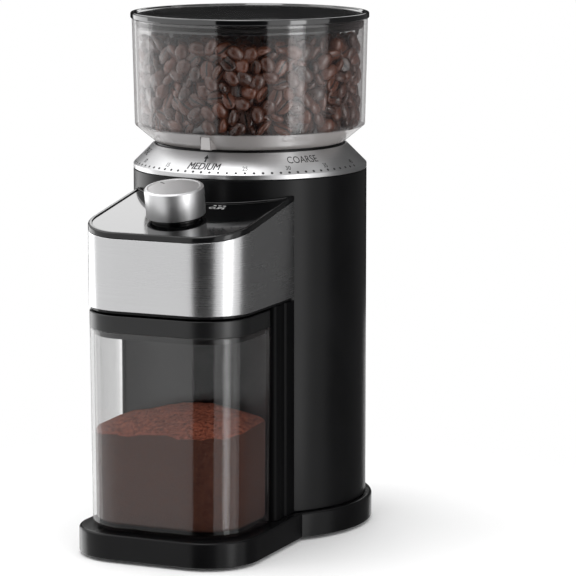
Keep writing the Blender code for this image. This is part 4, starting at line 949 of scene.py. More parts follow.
@dataclass
class ScalePrint:
    """The black print on the ring: a dot for each step, every fifth number and the grind words.

    The middle word is struck twice, a little apart, so that it reads bolder than the others.
    """

    cone: tuple[float, float, float, float]
    step_deg: float = 4.4
    rest_number: int = 20
    last_number: int = 40
    number_every: int = 5
    dot_r: float = 0.80 * MM
    dot_sides: int = 14
    thick: float = 0.05 * MM
    number_h: float = 4.4 * MM
    word_h: float = 7.2 * MM
    narrow: float = 0.78
    slant: float = 0.25
    dot_up: float = 1.7 * MM
    number_up: float = 3.6 * MM
    word_up: float = 8.4 * MM
    word_deg: float = 54.0
    strikes: tuple[float, ...] = (-0.13 * MM, 0.13 * MM)
    strike_lift: float = 0.01 * MM
    arrow_up: float = 0.78
    shaft_half: float = 0.5 * MM
    shaft_h: float = 2.6 * MM
    arrow_half: float = 1.5 * MM
    arrow_h: float = 5.4 * MM

    def wrap(self, flat: np.ndarray, angle: float, up: float) -> np.ndarray:
        """Lay flat print on the cone.

        The print's x runs round the cone (angle = x / r) and its y runs up the slope; its z
        is how far it stands off the surface.

        Args:
            flat: the print's points.
            angle: where its middle sits round the axis, in degrees from the front.
            up: how far up the slope its baseline is.

        Returns:
            The points on the cone.
        """
        low_r, low_z, top_r, top_z = self.cone
        length = math.hypot(low_r - top_r, top_z - low_z)
        inward, upward = (low_r - top_r) / length, (top_z - low_z) / length
        climb = up + flat[:, 1]
        radius = low_r - climb * inward + flat[:, 2] * upward
        height = low_z + climb * upward + flat[:, 2] * inward
        middle_r = low_r - up * inward
        turned = math.radians(angle) + flat[:, 0] / middle_r
        return np.column_stack([radius * np.sin(turned), -radius * np.cos(turned), height])

    def disc(self, radius: float) -> Surface:
        """Return a thin round dot."""
        flat = circle(radius, self.dot_sides)
        return loft([lifted(flat, -self.thick), lifted(flat, self.thick)], False)

    def pointer(self) -> Surface:
        """Return the small arrow above the middle word: a shaft under a triangle."""
        shaft, wing, neck = self.shaft_half, self.arrow_half, self.shaft_h
        outline = np.array([(-shaft, 0), (shaft, 0), (shaft, neck), (wing, neck), (0, self.arrow_h),
                            (-wing, neck), (-shaft, neck)])
        return loft([lifted(outline, -self.thick), lifted(outline, self.thick)], False)

    def build(self) -> None:
        """Make the print as one piece."""
        marks: list[Surface] = []

        def stamp(shape: Surface, angle: float, up: float) -> None:
            """Add one mark at its place on the cone."""
            marks.append(Surface(self.wrap(shape.points, angle, up), shape.faces))

        for number in range(0, self.last_number + 1):
            angle = (number - self.rest_number) * self.step_deg
            stamp(self.disc(self.dot_r), angle, self.dot_up)
            if number % self.number_every == 0 and number not in (0, self.rest_number):
                stamp(letters(str(number), self.number_h, self.thick, self.narrow), angle, self.number_up)
        for strike, shift in enumerate(self.strikes):
            word = letters("MEDIUM", self.word_h, self.thick, self.narrow, self.slant)
            word.points = word.points + np.array([shift, 0.0, self.strike_lift * strike])
            stamp(word, 0.0, self.number_up)
        stamp(self.pointer(), 0.0, self.number_up + self.arrow_up * self.word_h)
        stamp(letters("COARSE", self.word_h, self.thick, self.narrow), self.word_deg, self.word_up)
        stamp(letters("FINE", self.word_h, self.thick, self.narrow), -self.word_deg, self.word_up)
        place_piece("scale_print", merge(marks), BLACK_INK, "chassis", crisp=60)


@dataclass
class Head:
    """The overhanging head: brushed steel band, black bezel, sunk gloss panel and printed marks."""

    steel_t: float = 0.8 * MM
    steel_edge: float = 0.35 * MM
    bezel_w: float = 2.4 * MM
    bezel_h: float = 3.3 * MM
    bezel_edge: float = 1.3 * MM
    panel_gap: float = 0.15 * MM
    panel_rise: float = 2.9 * MM
    panel_t: float = 2.3 * MM
    knob_hole_r: float = 6.2 * MM
    mark_at: tuple[float, float] = (15.0 * MM, -81.0 * MM)
    mark_h: float = 4.6 * MM
    mark_t: float = 0.05 * MM
    mark_narrow: float = 0.9
    bars: int = 3
    bar_sides: int = 12
    bar_half: tuple[float, float] = (1.1 * MM, 0.4 * MM)
    bar_step: float = 3.0 * MM
    bar_up: float = 1.2 * MM

    def band(self) -> float:
        """The steel band, swept from one rear end round the nose to the other; returns its front top."""
        low, high = span("steel_band")
        front_top = high.z - float(PLAN.lean(np.array([[0.0, high.y]]))[0])
        section = fillet([(0, low.z, self.steel_edge), (0, front_top, self.steel_edge),
                          (self.steel_t, front_top, 0), (self.steel_t, low.z, 0)], True, 3)
        middle = (low.z + front_top) / 2
        stations = []
        for inset, z in section:
            half_w = PLAN.head_half_w - inset
            end = -math.sqrt((PLAN.column_r + GAP) ** 2 - half_w ** 2)
            line = nose(half_w, PLAN.head_front - inset, PLAN.head_corner - inset)
            left = np.linspace((-half_w, end), line[0], 10)[:-1]
            right = np.linspace(line[-1], (half_w, end), 10)[1:]
            flat = np.vstack([left, line, right])
            rise = PLAN.lean(flat) if z > middle else 0.0
            stations.append(lifted(flat, z + rise))
        place_piece("head_band", sweep_open(stations), STAINLESS, "chassis", ["steel_band"], 28)
        return front_top

    def bezel(self, front_top: float) -> None:
        """The black rim on the band: a rounded section carried round the head's outline."""
        low = front_top + GAP
        top = low + self.bezel_h
        section = fillet([(0, low, EDGE_FINE), (0, top, self.bezel_edge), (self.bezel_w, top, EDGE_SOFT),
                          (self.bezel_w, low, 0)], True, 5)
        stations = [self.sloped(PLAN.saddle(inset), z) for inset, z in section]
        place_piece("head_bezel", loft(stations, True), BLACK_TRIM, "chassis", ["top_bezel"])

    def sloped(self, flat: np.ndarray, z: float) -> np.ndarray:
        """Plan points at height z of the front edge, lifted by the head's slope."""
        return lifted(flat, z + PLAN.lean(flat))

    def panel(self, front_top: float) -> float:
        """The gloss panel: a thin plate between the bezel's window and the knob's hole."""
        top = front_top + self.panel_rise
        low = top - self.panel_t
        knob_low, knob_high = span("knob_collar")
        middle = (0.0, (knob_low.y + knob_high.y) / 2)
        outer = PLAN.saddle(self.bezel_w + self.panel_gap)
        hole = squarish(outer, middle, self.knob_hole_r, self.knob_hole_r)
        stations = [self.sloped(hole, low)]
        stations += [self.sloped(hole * (1 - s) + outer * s, low) for s in (0.5, 1.0)]
        stations += [self.sloped(outer * s + hole * (1 - s), top) for s in (1.0, 0.75, 0.5, 0.25, 0.0)]
        place_piece("head_panel", loft(stations, True), BLACK_GLOSS, "chassis", ["control_panel"])
        return top

    def marks(self, panel_top: float) -> None:
        """The small white print beside the knob: a word, and a row of short lines over it."""
        shapes = [letters("CUPS", self.mark_h, self.mark_t, self.mark_narrow)]
        for i in range(self.bars):
            bar = squarish(circle(1.0, self.bar_sides), (0.0, 0.0), *self.bar_half)
            bar = bar + np.array([(i - (self.bars - 1) / 2) * self.bar_step, self.mark_h + self.bar_up])
            shapes.append(loft([lifted(bar, -self.mark_t), lifted(bar, self.mark_t)], False))
        oriented = [outward(shape) for shape in shapes]
        print_all = merge(oriented)
        flat = print_all.points[:, :2] + np.array(self.mark_at)
        print_all.points = lifted(flat, panel_top + PLAN.lean(flat) + print_all.points[:, 2])
        place_piece("head_panel_print", print_all, WHITE_INK, "chassis", crisp=60)

    def build(self) -> float:
        """Make the head's pieces and return the panel's height at the front edge."""
        front_top = self.band()
        self.bezel(front_top)
        panel_top = self.panel(front_top)
        self.marks(panel_top)
        return panel_top


@dataclass
class Knob:
    """The cup selector: a turned knob with a bright chamfer and a pointer, on a black collar."""

    panel_top: float
    radius: float = 17.25 * MM
    low: float = 2.4 * MM
    height: float = 16.6 * MM
    wall: float = 2.05 * MM
    top_t: float = 5.0 * MM
    boss_r: float = 5.5 * MM
    bore_r: float = 3.3 * MM
    chamfer: float = 0.9 * MM
    dish_h: float = 0.25 * MM
    land: float = 1.0 * MM
    land_in: float = 1.6 * MM
    land_edge: float = 0.15 * MM
    draft: float = 0.15 * MM
    lip_edge: float = 0.2 * MM
    boss_up: float = 0.8 * MM
    bore_up: float = 1.0 * MM
    collar_r: float = 14.5 * MM
    collar_h: float = 1.6 * MM
    collar_gap: float = 0.7 * MM
    collar_edge: float = 0.6 * MM
    pointer_deg: float = 148.0
    pointer_half: tuple[float, float] = (1.7 * MM, 0.45 * MM)
    pointer_out: float = 0.70
    pointer_z: tuple[float, float] = (-0.1 * MM, 0.06 * MM)

    def to_dial(self, points: np.ndarray) -> np.ndarray:
        """Tilt points from an upright axis to the panel's normal, and move them to the knob's place."""
        joint = next(j for j in frame["joints"] if j["name"] == "cup_select")
        origin = np.array(joint["pos_m"]) - np.array([0.0, AXIS_Y, 0.0])
        c, s = math.cos(PLAN.slope), math.sin(PLAN.slope)
        tilt = np.array([[1, 0, 0], [0, c, -s], [0, s, c]])
        return points @ tilt.T + origin

    def cap(self) -> None:
        """The knob itself, hollow below, turned from one profile."""
        top = self.low + self.height
        under = top - self.top_t
        r, dish, boss = self.radius, top - self.dish_h, self.low + self.boss_up
        profile = fillet([(0, dish, 0), (r - self.chamfer - self.land_in, dish, EDGE_SMALL),
                          (r - self.chamfer - self.land, top, self.land_edge),
                          (r - self.chamfer, top, self.land_edge), (r, top - self.chamfer, EDGE_FINE),
                          (r - self.draft, self.low, EDGE_SMALL), (r - self.wall, self.low, self.lip_edge),
                          (r - self.wall, under, EDGE_SMALL), (self.boss_r, under, 0), (self.boss_r, boss, 0),
                          (self.bore_r, boss, 0), (self.bore_r, under - self.bore_up, 0),
                          (0, under - self.bore_up, 0)], False)
        shape = turn(profile, 128)
        shape.points = self.to_dial(shape.points)
        place_piece("knob_cap", shape, KNOB_METAL, "knob", ["knob"], 22)

    def pointer(self) -> None:
        """The small dark pointer line near the knob's edge: a round-ended bar, thinly proud."""
        half_l, half_w = self.pointer_half
        ends = [arc(half_l, 0, half_w, -90, 90, 8), arc(-half_l, 0, half_w, 90, 270, 8)]
        flat = np.vstack(ends)
        turned = math.radians(self.pointer_deg)
        spin = np.array([[math.cos(turned), math.sin(turned)], [-math.sin(turned), math.cos(turned)]])
        flat = (flat + np.array([self.radius * self.pointer_out, 0.0])) @ spin
        top = self.low + self.height - self.dish_h
        stations = [self.to_dial(lifted(flat, top + z)) for z in self.pointer_z]
        place_piece("knob_pointer", loft(stations, False), BLACK_INK, "knob")

    def collar(self) -> None:
        """The black ring under the knob."""
        inner = self.boss_r + self.collar_gap
        profile = fillet([(self.collar_r, self.collar_h, self.collar_edge), (self.collar_r, GAP, 0),
                          (inner, GAP, 0), (inner, self.collar_h, EDGE_FINE)], True)
        shape = turn(profile, 96)
        shape.points = self.to_dial(shape.points)
        place_piece("knob_seat_ring", shape, BLACK_TRIM, "chassis", ["knob_collar"])

    def build(self) -> None:
        """Make the knob's pieces."""
        self.cap()
        self.pointer()
        self.collar()


@dataclass
class Hopper:
    """The bean hopper: a smoke-clear drum on a cone, its adjusting ring, lid and pointer rib."""

    wall: float = 2.2 * MM
    draft: float = 1.5 * MM
    flare: float = 12.0 * MM
    cone_h: float = 9.8 * MM
    neck_flat: float = 1.8 * MM
    neck_gap: float = 0.5 * MM
    foot_corner: float = 1.6 * MM
    funnel_corner: float = 2.0 * MM
    seat_land: float = 1.2 * MM
    ring_wall: float = 2.9 * MM
    rim_h: float = 3.4 * MM
    rim_w: float = 2.4 * MM
    rim_slope: float = 3.4 * MM
    rim_edge: float = 0.9 * MM
    lid_sunk: float = 1.0 * MM
    lid_t: float = 2.2 * MM
    skirt_gap: float = 0.5 * MM
    groove_w: float = 1.2 * MM
    skirt_t: float = 1.3 * MM
    seal_t: float = 1.4 * MM
    seal_edge: float = 0.2 * MM
    tab_degs: tuple[float, ...] = (-18.6, 71.4, 96.0, 161.4, 251.4)
    tab_set: float = 0.2 * MM
    tab_t: float = 1.4 * MM
    rib_half_w: float = 3.0 * MM
    rib_set: float = 2.5 * MM
    rib_deg: float = 1.6
    rib_ends: tuple[float, float] = (0.4 * MM, 0.9 * MM)
    rib_sunk: float = 0.4 * MM
    throat_r: float = 38.0 * MM
    sleeve_r: float = 41.0 * MM
    sleeve_in: float = 38.4 * MM
    seat_t: float = 1.85 * MM

    def drum(self) -> tuple[float, float, float, float]:
        """The clear drum; returns its inside radius and height at the cone and at the rim."""
        low, high = span("hopper")
        rim_r = high.x
        low_r = rim_r - self.draft
        neck_r = low_r - self.flare
        ring_high = span("adjust_ring")[1].z
        neck_z = ring_high + self.neck_gap
        wall_low = neck_z + self.cone_h
        slope = self.cone_h / self.flare
        throat = self.throat_r
        cone_r = neck_r - self.neck_flat
        throat_z = neck_z - (cone_r - throat) * slope
        inner = throat - self.wall
        inner_z = throat_z + self.seat_t - self.wall * slope
        inside_r = low_r - self.wall
        inside_z = inner_z + (inside_r - inner) * slope
        profile = fillet([(rim_r, high.z, EDGE_SOFT), (low_r, wall_low, self.foot_corner),
                          (neck_r, neck_z, EDGE_SOFT), (cone_r, neck_z, 0), (throat, throat_z, EDGE_DEEP),
                          (throat, low.z, EDGE_SMALL), (inner, low.z, EDGE_SMALL),
                          (inner, inner_z, EDGE_DEEP), (inside_r, inside_z, self.funnel_corner),
                          (rim_r - self.wall, high.z, EDGE_SOFT)], True, 6)
        place_piece("hopper_drum", turn(profile, 200), HOPPER_CLEAR, "hopper", ["hopper"])
        self.rib(neck_r, neck_z, low_r, wall_low)
        return inside_r, inside_z, rim_r - self.wall, high.z

    def rib(self, neck_r: float, neck_z: float, low_r: float, wall_low: float) -> None:
        """The clear pointer rib at the front: a gusset that fills the hollow under the drum.

        Its upright section has three corners, (radius, height), and is drawn sideways from
        one flank to the other; the flank points turn with the rib about the axis.
        """
        face_r = low_r - self.rib_set
        low, top = neck_z + self.rib_ends[0], wall_low - self.rib_ends[1]
        slope = (wall_low - neck_z) / (low_r - neck_r)
        sunk = self.rib_sunk
        section = fillet([(neck_r - sunk, low, 0), (face_r, low, EDGE_SOFT), (face_r, top, EDGE_FINE),
                          (neck_r + (top - neck_z) / slope - sunk, top, 0)], True)
        c, s = math.cos(math.radians(self.rib_deg)), math.sin(math.radians(self.rib_deg))
        stations = []
        for side in (-self.rib_half_w, self.rib_half_w):
            x, y = np.full(len(section), side), -section[:, 0]
            stations.append(np.column_stack([x * c - y * s, x * s + y * c, section[:, 1]]))
        place_piece("hopper_pointer_rib", loft(stations, False), HOPPER_CLEAR, "hopper")

    def adjuster(self) -> None:
        """The black ring between hopper and scale."""
        low, high = span("adjust_ring")
        outer = high.x
        deck = span("column_shell")[1].z + GAP
        sleeve, inner = self.sleeve_r, self.sleeve_in
        slope = self.cone_h / self.flare
        seat_r = outer - self.seat_land
        seat_z = high.z - (seat_r - inner) * slope
        wall_in = outer - self.ring_wall
        under = seat_z - GAP
        profile = fillet([(outer, high.z, EDGE_SMALL), (outer, deck, 0), (wall_in, deck, 0),
                          (wall_in, under + (wall_in - sleeve) * slope, 0), (sleeve, under, 0),
                          (sleeve, low.z, EDGE_SMALL), (inner, low.z, EDGE_SMALL), (inner, seat_z, 0),
                          (seat_r + GAP, high.z, 0)], True)
        place_piece("adjusting_ring", turn(profile), BLACK_SATIN, "adjuster", ["adjust_ring"])

    def lid(self) -> None:
        """The gloss lid: a sunk top inside a thin raised rim, and a skirt with latch tabs."""
        low, high = span("hopper_lid")
        gasket_low, gasket_high = span("lid_gasket")
        radius = high.x
        rim_low = high.z - self.rim_h
        skirt_r = gasket_high.x - self.skirt_gap
        groove_r = skirt_r - self.groove_w
        skirt_in = groove_r - self.skirt_t
        plate_top = high.z - self.lid_sunk
        plate_low = plate_top - self.lid_t
        groove_low, groove_high = gasket_low.z - GAP, gasket_high.z + GAP
        profile = fillet([(0, plate_top, 0), (radius - self.rim_slope, plate_top, EDGE_SOFT),
                          (radius - self.rim_w, high.z, EDGE_SMALL), (radius, high.z, self.rim_edge),
                          (radius, rim_low, EDGE_SOFT), (skirt_r, rim_low, 0), (skirt_r, groove_high, 0),
                          (groove_r, groove_high, 0), (groove_r, groove_low, 0), (skirt_r, groove_low, 0),
                          (skirt_r, low.z, EDGE_SMALL), (skirt_in, low.z, EDGE_SMALL),
                          (skirt_in, plate_low, EDGE_DEEP), (0, plate_low, 0)], False, 5)
        place_piece("lid_cap", turn(profile, 200), BLACK_LID, "lid", ["hopper_lid"])
        self.tabs(skirt_r - self.tab_set, low.z)

    def tabs(self, radius: float, top: float) -> None:
        """Small three-cornered latch tabs under the lid's skirt."""
        shapes = []
        flat = np.array([(-2.6, 0.6), (2.6, 0.6), (1.4, -2.2), (0.4, -3.0)]) * MM
        for angle in self.tab_degs:
            turned = math.radians(angle) + flat[:, 0] / radius
            rings = [np.column_stack([r * np.sin(turned), -r * np.cos(turned), top + flat[:, 1]])
                     for r in (radius - self.tab_t, radius)]
            shapes.append(loft(rings, False))
        oriented = [outward(shape) for shape in shapes]
        place_piece("lid_latch_tabs", merge(oriented), BLACK_LID, "lid")

    def gasket(self) -> None:
        """The lid's soft ring, with a rounded lip."""
        low, high = span("lid_gasket")
        outer = high.x
        inner = outer - self.seal_t
        profile = fillet([(outer, high.z, EDGE_SOFT), (outer, low.z, EDGE_SOFT),
                          (inner, low.z, self.seal_edge), (inner, high.z, self.seal_edge)], True)
        place_piece("lid_seal", turn(profile), RUBBER, "lid", ["lid_gasket"])

    def build(self) -> tuple[float, float, float, float]:
        """Make the hopper's pieces and return the drum's inside measures."""
        self.adjuster()
        self.lid()
        self.gasket()
        return self.drum()


@dataclass
class BeanFill:
    """Loose roasted beans, packed against the hopper's wall and over its top layer."""

    inside: tuple[float, float, float, float]
    wall_count: int = 760
    top_count: int = 240
    length: float = 11.6 * MM
    width: float = 9.2 * MM
    depth: float = 7.4 * MM
    belly: float = 0.52
    crease_in: float = 0.14
    spacing: float = 7.9 * MM
    shell: float = 15.0 * MM
    top_margin: float = 15.0 * MM
    top_layer: float = 8.0 * MM
    floor_gap: float = 1.2 * MM
    ceiling_spread: tuple[float, float] = (-3.0 * MM, 2.5 * MM)
    wall_set: float = 3.5 * MM
    top_in: float = 10 * MM
    wall_gap: float = 0.4 * MM
    size_range: tuple[float, float] = (0.88, 1.06)
    tumble: float = 0.62
    push_share: float = 0.28
    lean_out: float = 1.1
    rows: int = 6
    around: int = 12
    seed: int = 11
    rounds: int = 110

    def bean(self) -> tuple[Surface, np.ndarray]:
        """One bean: an oval half round with a flatter face and a groove along it.

        For the angles v from end to end and u round the length, a point is
        (-a cos v, b s cos u, c s sin u) with s = sin(v) ** 0.75. Below, z is flattened by a
        fixed share, and a narrow bell round u = 270 degrees lifts the groove.

        Returns:
            The surface, and each point's (end to end, round) place from 0 to 1.
        """
        v = np.linspace(0, np.pi, self.rows + 2)[1:-1]
        u = np.linspace(0, 2 * np.pi, self.around, endpoint=False)
        vv, uu = np.meshgrid(v, u, indexing="ij")
        s = np.sin(vv) ** 0.75
        x = -np.cos(vv) * self.length / 2
        y = s * np.cos(uu) * self.width / 2
        z = s * np.sin(uu) * self.depth / 2
        z = np.where(z < 0, z * self.belly, z)
        z = z + np.exp(-((uu - 1.5 * np.pi) / 0.3) ** 2) * s * self.depth * self.crease_in
        points = np.stack([x, y, z], axis=-1).reshape(-1, 3)
        place = np.stack([vv / np.pi, uu / (2 * np.pi)], axis=-1).reshape(-1, 2)
        faces = quads(self.rows, self.around, False, True).tolist()
        tips = np.array([[-self.length / 2, 0, 0], [self.length / 2, 0, 0]])
        first, last = len(points), len(points) + 1
        ring = np.arange(self.around)
        after = (ring + 1) % self.around
        end = (self.rows - 1) * self.around
        faces += np.stack([np.full(self.around, first), after, ring], axis=-1).tolist()
        faces += np.stack([np.full(self.around, last), end + ring, end + after], axis=-1).tolist()
        shape = Surface(np.vstack([points, tips]), faces)
        if signed_volume(shape) < 0:
            shape.faces = [face[::-1] for face in shape.faces]
        return shape, np.vstack([place, [[0.0, 0.5], [1.0, 0.5]]])

    def wall_r(self, z: np.ndarray) -> np.ndarray:
        """The hopper's inside radius at each height of its slightly drawn drum."""
        low_r, low_z, top_r, top_z = self.inside
        return low_r + (top_r - low_r) * np.clip((z - low_z) / (top_z - low_z), 0, 1)

    def turns(self, rng: np.random.Generator, places: np.ndarray) -> np.ndarray:
        """Random rotations in which the beans tend to lie with a broad side to the wall.

        The bean's own Z is plus or minus the outward direction with normal noise added, and
        its X is a random direction made square to it.
        """
        n = len(places)
        outward = places * np.array([1, 1, 0])
        outward /= np.linalg.norm(outward, axis=1, keepdims=True)
        sign = np.where(rng.random((n, 1)) < 0.5, -1.0, 1.0)
        z_axis = outward * sign * self.lean_out + rng.normal(size=(n, 3)) * self.tumble
        z_axis /= np.linalg.norm(z_axis, axis=1, keepdims=True)
        x_axis = np.cross(rng.normal(size=(n, 3)), z_axis)
        x_axis /= np.linalg.norm(x_axis, axis=1, keepdims=True)
        return np.stack([x_axis, np.cross(z_axis, x_axis), z_axis], axis=2)

    def settle(self, rng: np.random.Generator) -> tuple[np.ndarray, np.ndarray]:
        """Spread the beans out: neighbours push apart, and the wall pushes each one in.

        Args:
            rng: the seeded source of the first places and turns.

        Returns:
            Each bean's centre and its rotation matrix.
        """
        low_z, top_z = self.inside[1], self.inside[3]
        floor, ceiling = low_z + self.floor_gap, top_z - self.top_margin
        count = self.wall_count + self.top_count
        on_top = np.arange(count) >= self.wall_count
        low = np.where(on_top, ceiling - self.top_layer, floor)
        high = np.full(count, ceiling) + rng.uniform(*self.ceiling_spread, count)
        z = rng.uniform(low, high)
        angle = rng.uniform(0, 2 * np.pi, count)
        radius = self.wall_r(z) - rng.uniform(self.wall_set, self.shell, count)
        radius = np.where(on_top, np.sqrt(rng.random(count)) * (self.inside[0] - self.top_in), radius)
        places = np.column_stack([radius * np.sin(angle), radius * np.cos(angle), z])
        turns = self.turns(rng, places)
        half = np.array([self.length, self.width, self.depth]) / 2
        for _ in range(self.rounds):
            gap = places[:, None, :] - places[None, :, :]
            far = np.linalg.norm(gap, axis=2) + np.eye(count)
            push = np.clip(self.spacing - far, 0, None) / far
            np.fill_diagonal(push, 0)
            places = places + self.push_share * np.einsum("ij,ijk->ik", push, gap)
            places[:, 2] = np.clip(places[:, 2], low, high)
            radius = np.linalg.norm(places[:, :2], axis=1)
            outward = places / radius[:, None] * np.array([1, 1, 0])
            reach = np.linalg.norm(np.einsum("nij,ni->nj", turns, outward) * half, axis=1)
            limit = self.wall_r(places[:, 2]) - reach * 1.08 - self.wall_gap
            inner = np.where(on_top, 0.0, limit - self.shell)
            places[:, :2] *= (np.clip(radius, inner, limit) / radius)[:, None]
        return places, turns

    def build(self) -> None:
        """Make the beans as one piece with a roast attribute and their own UV places."""
        rng = np.random.default_rng(self.seed)
        shape, place = self.bean()
        places, turns = self.settle(rng)
        count = len(places)
        scale = rng.uniform(*self.size_range, (count, 1, 3))
        points = np.einsum("nij,npj->npi", turns, shape.points[None] * scale) + places[:, None, :]
        per = len(shape.points)
        offsets = np.arange(count) * per
        faces: list = []
        for size in (3, 4):
            kind = np.array([face for face in shape.faces if len(face) == size])
            faces += (kind[None] + offsets[:, None, None]).reshape(-1, size).tolist()
        piece = place_piece("coffee_beans", Surface(points.reshape(-1, 3), faces), BEAN, "hopper", crisp=75)
        mesh = piece.data
        roast = mesh.attributes.new("roast", "FLOAT", "POINT")
        tone = np.repeat(rng.uniform(0.0, 0.6, count), per)
        roast.data.foreach_set("value", tone.astype(np.float32))
        self.lay_uv(mesh, np.tile(place, (count, 1)))

    def lay_uv(self, mesh: bpy.types.Mesh, place: np.ndarray) -> None:
        """Give each face corner its point's place; a face across the seam takes 1 for 0."""
        loops = np.zeros(len(mesh.loops), np.int32)
        mesh.loops.foreach_get("vertex_index", loops)
        starts = np.zeros(len(mesh.polygons), np.int32)
        mesh.polygons.foreach_get("loop_start", starts)
        uv = place[loops]
        face_of = np.repeat(np.arange(len(starts)), np.diff(np.append(starts, len(loops))))
        highest = np.maximum.reduceat(np.where(np.abs(uv[:, 0] * (1 - uv[:, 0])) < 1e-9, 0, uv[:, 1]), starts)
        seam = (highest[face_of] > 0.8) & (uv[:, 1] < 0.2)
        uv[:, 1] = np.where(seam, uv[:, 1] + 1.0, uv[:, 1])
        layer = mesh.uv_layers.new(name="bean")
        layer.data.foreach_set("uv", uv.astype(np.float32).ravel())


@dataclass
class Bin:
    """The grounds bin: a clear box with round front corners, its black lid and ground coffee."""

    corner: float = 28.0 * MM
    rear_corner: float = 6.0 * MM
    wall: float = 2.2 * MM
    floor: float = 3.0 * MM
    draft: float = 1.0 * MM
    lid_plate: float = 2.5 * MM
    peak_x: float = 8.0 * MM
    peak_y: float = -89.0 * MM
    peak_h: float = 71.5 * MM
    peak_stretch: float = 1.15
    repose: float = 0.28
    foot_corner: float = 2.4 * MM
    floor_corner: float = 2.0 * MM
    foot_in: float = 9 * MM
    floor_in: float = 10 * MM
    plug_gap: float = 0.6 * MM
    plug_t: float = 2.0 * MM
    hole_half: float = 13.0 * MM
    lid_edge: float = 0.8 * MM
    lid_in: float = 8 * MM
    round_top: float = 9 * MM
    corner_steps: int = 8
    nose_steps: int = 20
    fill_h: float = 55 * MM
    fill_gap: float = 0.4 * MM
    fill_foot_in: float = 1.5 * MM
    fill_foot_h: float = 2.0 * MM
    rings: int = 60
    last_ring: float = 0.985
    settle: float = 1.2 * MM
    settle_rate: float = 40

    def __post_init__(self) -> None:
        """Measure the bin on its CAD node."""
        self.low, self.high = span("grounds_bin")

    def outline(self, inset: float) -> np.ndarray:
        """The bin's plan outline, moved in by inset."""
        half_w = self.high.x - inset
        rear = self.high.y - inset
        corner = max(self.rear_corner - inset, EDGE_DEEP)
        back_right = arc(half_w - corner, rear - corner, corner, 0, 90, self.corner_steps)
        back_left = arc(-half_w + corner, rear - corner, corner, 90, 180, self.corner_steps)
        middle = np.linspace(back_right[-1], back_left[0], self.corner_steps)[1:-1]
        front = nose(half_w, -self.low.y - inset, self.corner - inset, self.nose_steps)
        return np.vstack([back_right, middle, back_left, front])

    def drawn_in(self, flat: np.ndarray, z: float) -> np.ndarray:
        """Plan points at height z, drawn in along X towards the foot as the mould's draft asks."""
        share = (self.high.z - z) / (self.high.z - self.low.z)
        shift = np.column_stack([-np.sign(flat[:, 0]) * self.draft * share, np.zeros(len(flat))])
        return lifted(flat + shift, z)

    def box(self) -> None:
        """The clear box, with a rounded foot and rim."""
        low, high = self.low.z, self.high.z
        profile = fillet([(self.foot_in, low, 0), (0, low, self.foot_corner), (0, high, EDGE_SOFT),
                          (self.wall, high, EDGE_SOFT), (self.wall, low + self.floor, self.floor_corner),
                          (self.floor_in, low + self.floor, 0)], False, 6)
        stations = [self.drawn_in(self.outline(inset), z) for inset, z in profile]
        place_piece("bin_box", loft(stations, False), BIN_CLEAR, "bin", ["grounds_bin"])

    def lid(self) -> None:
        """The lid: a black band and plug round a filling hole."""
        low, high = span("bin_lid")
        band_low = self.high.z + GAP
        centre = (0.0, (self.low.y + self.high.y) / 2)
        plug = self.wall + self.plug_gap
        inner = plug + self.plug_t
        hole = squarish(self.outline(0.0), centre, self.hole_half, self.hole_half)
        under = high.z - self.lid_plate

        def ring(inset: float, z: float) -> np.ndarray:
            """The bin's outline at an inset and height."""
            return lifted(self.outline(inset), z)

        edges = fillet([(self.wall, band_low, 0), (0, band_low, EDGE_SMALL), (0, high.z, self.lid_edge),
                        (self.lid_in, high.z, 0)], False, 5)
        stations = [ring(plug, band_low)] + [ring(inset, z) for inset, z in edges]
        flat_in = self.outline(self.lid_in)
        stations += [lifted(flat_in * (1 - s) + hole * s, high.z) for s in (0.5, 1.0)]
        stations += [lifted(hole * s + self.outline(inner) * (1 - s), under) for s in (1.0, 0.5, 0.0)]
        stations += [ring(inner, low.z), ring(plug, low.z)]
        place_piece("bin_lid_cap", loft(stations, True), BLACK_CAP, "bin", ["bin_lid"])

    def heap(self, x: np.ndarray, y: np.ndarray) -> np.ndarray:
        """Height of the ground coffee: a low mound under the spout, with lumps and small slides.

        It falls from its peak with the square root of distance squared plus a constant, and
        sums of sines make its lumps.
        """
        across, along = (x - self.peak_x) / self.peak_stretch, y - self.peak_y
        distance = np.sqrt(across ** 2 + along ** 2 + self.round_top ** 2)
        height = self.low.z + self.peak_h - self.repose * distance
        lumps = (np.sin(x * 190 + 1.3) * np.sin(y * 230 + 0.4) * 0.8 + np.sin(x * 390 + y * 340) * 0.45
                 + np.sin(x * 1500 - y * 1730 + 2.0) * 0.22 + np.sin(x * 2900 + y * 2300) * 0.12)
        return height + lumps * MM

    def grounds(self) -> None:
        """The ground coffee: the bin's inside outline below, drawn in ring by ring over the heap."""
        inset = self.wall + GAP
        floor = self.low.z + self.floor + self.fill_gap
        outline = self.outline(inset)
        wall_top = self.drawn_in(outline, self.low.z + self.fill_h)
        start = self.drawn_in(self.outline(inset + self.fill_foot_in), floor)
        stations = [start, self.drawn_in(outline, floor + self.fill_foot_h)]
        middle = np.array([0.0, (self.low.y + self.high.y) / 2])
        for s in np.linspace(0, self.last_ring, self.rings):
            flat = wall_top[:, :2] * (1 - s) + middle * s
            settle = self.settle * math.exp(-s * self.settle_rate)
            stations.append(lifted(flat, self.heap(flat[:, 0], flat[:, 1]) - settle))
        piece = place_piece("ground_coffee", loft(stations, False), GROUNDS, "bin", crisp=60)
        pressed = piece.data.attributes.new("pressed", "FLOAT", "POINT")
        per = len(outline)
        values = np.zeros(len(piece.data.vertices), np.float32)
        values[:3 * per] = 1.0
        pressed.data.foreach_set("value", values)

    def build(self) -> None:
        """Make the bin's pieces."""
        self.box()
        self.lid()
        self.grounds()


